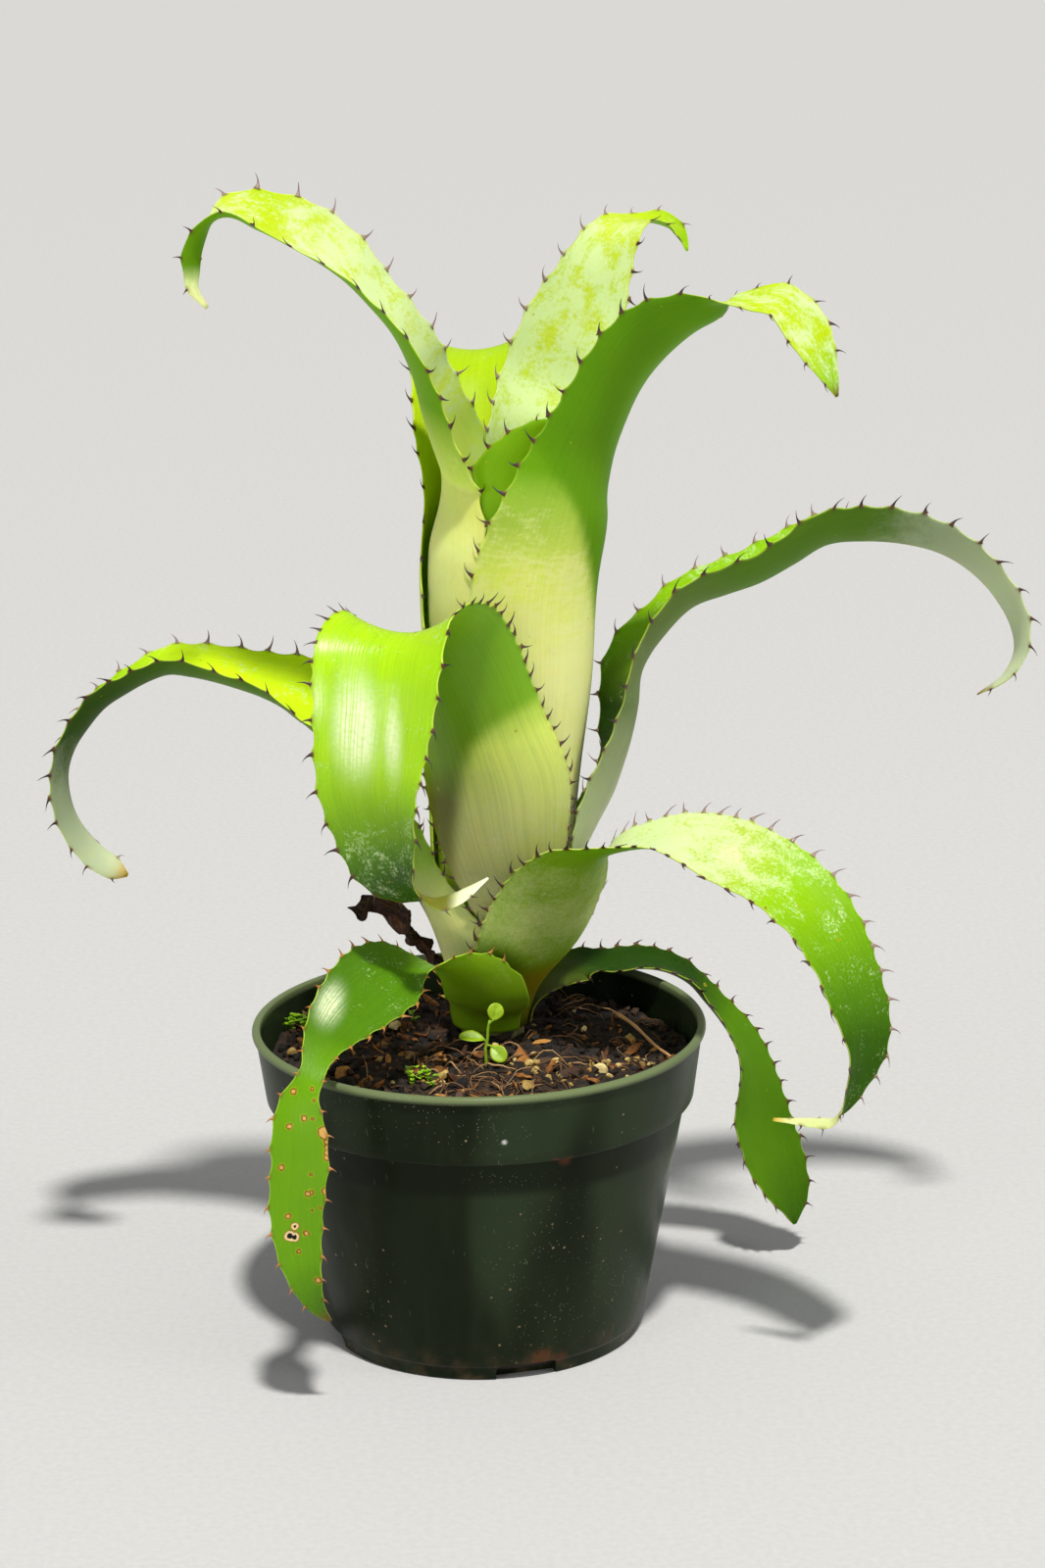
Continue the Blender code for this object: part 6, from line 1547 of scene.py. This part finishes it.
def rough_soil(x, y):
    """The fine surface: the slow one, with clods and crumbs on it."""
    place = Vector((x, y, 0))
    clods = noise.fractal(place / 9.0, 0.8, 2.1, 6)
    lumps = 1 - abs(noise.noise(place / 4.2))
    return soil_height(x, y) + 1.5 * clods + 1.3 * lumps - 0.7


def on_soil(x, y, lift=0.0):
    return Vector((x, y, rough_soil(x, y) + lift))


def from_stem(x, y):
    return math.hypot(x - STEM_PLACE[0], y - STEM_PLACE[1])


def make_soil():
    """The mix as one closed form: up inside the pot, over the fine surface and down the stem's hole."""
    edge = BAND_FOOT - 3.0
    narrow = body_radius(edge) - WALL - 0.3
    below = [(FLOOR + 0.3, body_radius(FLOOR) - WALL - 2.0),
             (FLOOR + 2.0, body_radius(FLOOR + 2.0) - WALL - 0.3),
             (edge, narrow), (BAND_FOOT, narrow), (BAND_FOOT + 3.0, SOIL_EDGE_RADIUS - 0.3)]
    points = []
    for z, radius in below:
        points += circle(radius, z, SOIL_SIDES)
    for step in reversed(range(SOIL_RINGS + 1)):
        radius = STEM_CLEAR + (SOIL_EDGE_RADIUS - STEM_CLEAR) * step / SOIL_RINGS
        blend = (SOIL_EDGE_RADIUS - radius) / (SOIL_EDGE_RADIUS - STEM_CLEAR)
        centre = [part * blend for part in STEM_PLACE]
        points += [(x, y, rough_soil(x, y)) for x, y, _ in circle(radius, 0.0, SOIL_SIDES, centre)]
    points += circle(STEM_CLEAR, SOIL_LEVEL - STEM_HOLE_DEPTH, SOIL_SIDES, STEM_PLACE)
    faces = tube_faces(0, len(points) // SOIL_SIDES, SOIL_SIDES)
    soil = new_piece("soil_bed", points, faces, soil_material(), {})
    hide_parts("soil")


def soil_place(draw):
    """A random place on the soil, clear of the stem."""
    while True:
        angle = draw.uniform(0, 2 * math.pi)
        reach = (SOIL_EDGE_RADIUS - 2.0) * math.sqrt(draw.uniform(0, 1))
        x, y = reach * math.cos(angle), reach * math.sin(angle)
        if from_stem(x, y) > STEM_CLEAR + 3.0:
            return x, y


def rock(size, draw, levels):
    """Points and faces of a broken lump: a ball cut by random planes, then pulled to a size."""
    shape = bmesh.new()
    bmesh.ops.create_icosphere(shape, subdivisions=levels, radius=1.0)
    planes = [(Vector([draw.gauss(0, 1) for _ in range(3)]).normalized(), draw.uniform(0.45, 0.8))
              for _ in range(7)]
    phase = Vector([draw.uniform(0, 99) for _ in range(3)])
    points = []
    for vertex in shape.verts:
        co = vertex.co.copy()
        for normal, reach in planes:
            over = co.dot(normal) - reach
            if over > 0:
                co -= normal * over
        co *= 1 + ROCK_ROUGHNESS * noise.noise(co * 2.0 + phase)
        points.append(Vector((co.x * size[0], co.y * size[1], co.z * size[2])))
    faces = [tuple(vertex.index for vertex in face.verts) for face in shape.faces]
    shape.free()
    return points, faces


def scatter_rocks(name, finish, count, sizes, flatness, draw, tilt=0.5, sink=0.25, places=None, levels=2):
    """Lumps at random places or at given ones. Sizes are lengths, and flatness the shares of the others."""
    rocks = Cluster()
    for number in range(count):
        x, y = places[number] if places else soil_place(draw)
        length = draw.uniform(*sizes)
        size = (length / 2, length / 2 * draw.uniform(*flatness[0]), length / 2 * draw.uniform(*flatness[1]))
        points, faces = rock(size, draw, levels)
        turn = Matrix.Rotation(draw.uniform(0, 2 * math.pi), 3, "Z")
        for axis in "XY":
            turn = turn @ Matrix.Rotation(draw.gauss(0, tilt), 3, axis)
        centre = on_soil(x, y, size[2] * (1 - 2 * sink))
        rocks.add([centre + turn @ point for point in points], faces, draw.uniform(0, 1))
    rocks.piece(name, finish, "soil", smooth=False)


def fibre_path(draw, x, y):
    """A fibre's path and thickness: a loose bend over the soil that turns away from the pot and the stem."""
    heading = draw.uniform(0, 2 * math.pi)
    length = draw.uniform(*FIBRE_LENGTH)
    thickness = draw.uniform(*FIBRE_THICKNESS)
    bend = draw.gauss(0, 0.16)
    arch = draw.uniform(0.2, 3.6)
    path = []
    for part in range(FIBRE_PARTS + 1):
        t = part / FIBRE_PARTS
        if math.hypot(x, y) < SOIL_EDGE_RADIUS - 1.0:
            height = rough_soil(x, y) + thickness + arch * math.sin(math.pi * t)
        path.append(Vector((x, y, height)))
        heading += bend + draw.gauss(0, 0.12)
        next_x = x + math.cos(heading) * length / FIBRE_PARTS
        next_y = y + math.sin(heading) * length / FIBRE_PARTS
        if math.hypot(next_x, next_y) > SOIL_EDGE_RADIUS - 1.5 or from_stem(next_x, next_y) < STEM_CLEAR + 2:
            heading += math.pi * 0.6
        else:
            x, y = next_x, next_y
    moved = [after for before, after in zip(path, path[1:]) if (after - before).length > 0.2]
    return path[:1] + moved, thickness


def make_fibres(finish, draw):
    """Roots and fibres of the mix, more of them in the front."""
    fibres = Cluster()
    for number in range(FIBRES):
        x, y = soil_place(draw) if number % 3 else (draw.uniform(-22, 34), draw.uniform(-60, -12))
        path, thickness = fibre_path(draw, x, y)
        if len(path) > 3:
            radii = [thickness * (1 - 0.5 * abs(2 * index / len(path) - 1)) for index in range(len(path))]
            fibres.add(*tube(path, radii, 6), draw.uniform(0, 1))
    fibres.piece("fibres", finish, "soil")


def make_twig(finish):
    """The bare twig that leans on the soil at the right."""
    start, end = Vector(TWIG_START), Vector(TWIG_END)
    path, radii = [], []
    for part in range(TWIG_PARTS + 1):
        t = part / TWIG_PARTS
        sway = Vector((math.sin(t * 5) * 0.5, math.cos(t * 4) * 0.4, math.sin(t * 7) * 0.35))
        path.append(start.lerp(end, t) + sway)
        radii.append(0.66 + 0.08 * math.sin(part * 1.9) - 0.2 * part / TWIG_PARTS)
    twig = Cluster()
    twig.add(*tube(path, radii, 8), 0.6)
    twig.piece("twig", finish, "soil")


def make_ground():
    """The mix with its loose bits: most of the bark at the left, and many pebbles in front at the right."""
    draw = random.Random(21)
    make_soil()
    bark, dark, stone, root, wood = [grain_material(name) for name in GRAINS]
    chips = [soil_place(draw) for _ in range(CHIPS)]
    chips = [(x, y) if draw.random() > 0.35 or x < 0 else (-abs(x), y) for x, y in chips]
    chips = [(x, y) if from_stem(x, y) > STEM_CLEAR + 3 else (x, -40.0) for x, y in chips]
    scatter_rocks("dark_crumbs", dark, DARK_CRUMBS, (1.6, 5.5), ((0.5, 1.0), (0.4, 0.9)), draw,
                  tilt=0.9, levels=1)
    scatter_rocks("bark_chips", bark, CHIPS, (3.5, 11.0), ((0.2, 0.6), (0.12, 0.34)), draw,
                  tilt=0.6, places=chips)
    crumbs = [soil_place(draw) for _ in range(BARK_CRUMBS)]
    crumbs = [(x, y) if draw.random() > 0.6 or x < 10 else (5.0 - x, y) for x, y in crumbs]
    scatter_rocks("bark_crumbs", bark, BARK_CRUMBS, (1.0, 3.8), ((0.3, 0.9), (0.25, 0.6)), draw,
                  tilt=0.8, places=crumbs, levels=1)
    pebbles = [(draw.uniform(18, 58), draw.uniform(-42, -8)) for _ in range(FRONT_PEBBLES)]
    pebbles = [(x, y) for x, y in pebbles if math.hypot(x, y) < SOIL_EDGE_RADIUS - 3]
    pebbles += [soil_place(draw) for _ in range(SPREAD_PEBBLES)]
    scatter_rocks("pebbles", stone, len(pebbles), (1.4, 3.6), ((0.75, 1.0), (0.65, 0.95)), draw,
                  sink=0.2, places=pebbles)
    scatter_rocks("large_pebbles", stone, len(LARGE_PEBBLES), (4.6, 6.2), ((0.7, 0.95), (0.6, 0.8)), draw,
                  sink=0.15, places=LARGE_PEBBLES)
    make_fibres(root, draw)
    make_twig(wood)
    make_moss(draw)


# Small plants

def small_leaf(centre, ahead, sideways, length, breadth, shade, cup=0.25, thick=0.3):
    """Points, faces and shades of one small round leaf: a cupped, closed disc that narrows to its stalk."""
    ups = ahead.cross(sideways).normalized()
    if ups.z < 0:
        ups = -ups
    points, shades = [], []
    for face in (1, -1):
        for ring in range(DISC_RINGS + 1):
            reach = ring / DISC_RINGS
            for side in range(DISC_SIDES):
                angle = 2 * math.pi * side / DISC_SIDES
                along = math.cos(angle)
                narrow = 1.0 if along > -0.2 else 1.0 - 0.55 * (-along - 0.2)
                point = (centre + ahead * (length / 2 * along * reach)
                         + sideways * (breadth / 2 * math.sin(angle) * narrow * reach))
                lift = cup * length / 2 * reach ** 2 - 0.06 * length * math.cos(2 * angle) * reach
                vein = -0.10 * math.exp(-(math.sin(angle) * reach / 0.12) ** 2)
                edge = thick / 2 * math.sqrt(max(0.02, 1 - reach ** 4))
                points.append(point + ups * (lift + vein + face * edge))
                shades.append(min(1.0, shade + 0.25 * reach))
    layer = (DISC_RINGS + 1) * DISC_SIDES
    faces = [(a, d, c, b) for a, b, c, d in ring_quads(0, DISC_RINGS + 1, DISC_SIDES)]
    faces += [(b, c, d, a) for a, b, c, d in ring_quads(layer, DISC_RINGS + 1, DISC_SIDES)]
    for side in range(DISC_SIDES):
        near, far = layer - DISC_SIDES + side, layer - DISC_SIDES + (side + 1) % DISC_SIDES
        faces.append((near, near + layer, far + layer, far))
    return points, faces, shades


def make_moss(draw):
    """Low clumps of tiny round leaves on stalks."""
    moss = Cluster()
    for (x, y), radius, count in MOSS_PATCHES:
        for _ in range(count):
            angle, reach = draw.uniform(0, 2 * math.pi), radius * math.sqrt(draw.uniform(0, 1))
            place = (x + reach * math.cos(angle), y + reach * math.sin(angle))
            centre = on_soil(*place, draw.uniform(1.2, 3.6))
            heading = draw.uniform(0, 2 * math.pi)
            ahead = Vector((math.cos(heading), math.sin(heading), draw.uniform(-0.3, 0.5))).normalized()
            sideways = ahead.cross(UP).normalized()
            size = draw.uniform(1.4, 3.0)
            moss.add(*small_leaf(centre, ahead, sideways, size, size * 0.9, draw.uniform(0, 0.7)))
            base = on_soil(*place, -0.5)
            bend = base.lerp(centre, 0.5) + Vector((0.2, 0.1, 0))
            moss.add(*tube([base, bend, centre - ahead * size * 0.4], [0.16, 0.14, 0.12], 5), 0.2)
    moss.piece("moss", soft_green_material("moss leaves", *MOSS_GREENS, 600), "seedling")


def make_seedling():
    """A weed with a thin stalk and three round leaves on short stalks."""
    weed = Cluster()
    x, y = SEEDLING_FOOT
    foot = Vector((x, y, SOIL_LEVEL - 2.0))
    bend = Vector((x - 0.3, y + 0.3, SOIL_LEVEL + 6.0))
    top = Vector(SEEDLING_TOP)
    path = [foot.lerp(bend, t / 3) for t in range(3)]
    path += [bend.lerp(top, t / 6) + Vector((math.sin(t) * 0.2, 0, 0)) for t in range(7)]
    weed.add(*tube(path, [0.62 - 0.22 * index / len(path) for index in range(len(path))], 8), 0.35)
    for centre, length, breadth, heading, broadside in SEEDLING_LEAVES:
        centre = Vector(centre)
        ahead = Vector(heading).normalized()
        sideways = Vector(broadside)
        sideways = (sideways - ahead * sideways.dot(ahead)).normalized()
        stalk_end = centre - ahead * length * 0.44
        share = min(0.97, max(0.08, (stalk_end.z - 1.5 - bend.z) / (top.z - bend.z)))
        anchor = bend.lerp(top, share)
        middle = anchor.lerp(stalk_end, 0.5) + Vector((0, 0, 0.3))
        stalk = [anchor, middle, stalk_end, stalk_end + ahead * 1.0]
        weed.add(*tube(stalk, [0.38, 0.3, 0.3, 0.2], 6), 0.45)
        weed.add(*small_leaf(centre, ahead, sideways, length, breadth, 0.5, cup=0.1, thick=0.45))
    finish = soft_green_material("seedling leaves", *SEEDLING_GREENS, 420)
    seedling = weed.piece("seedling_plant", finish, "seedling")
    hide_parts("seedling")


def dress_stem():
    stem = frame["nodes"]["stem"]
    finish = stem_material()
    for slot in stem.material_slots:
        slot.material = finish


bpy.context.scene.view_settings.view_transform = "Standard"
add_camera()
add_lights()
add_floor()
make_leaves()
make_pot()
make_ground()
make_seedling()
dress_stem()
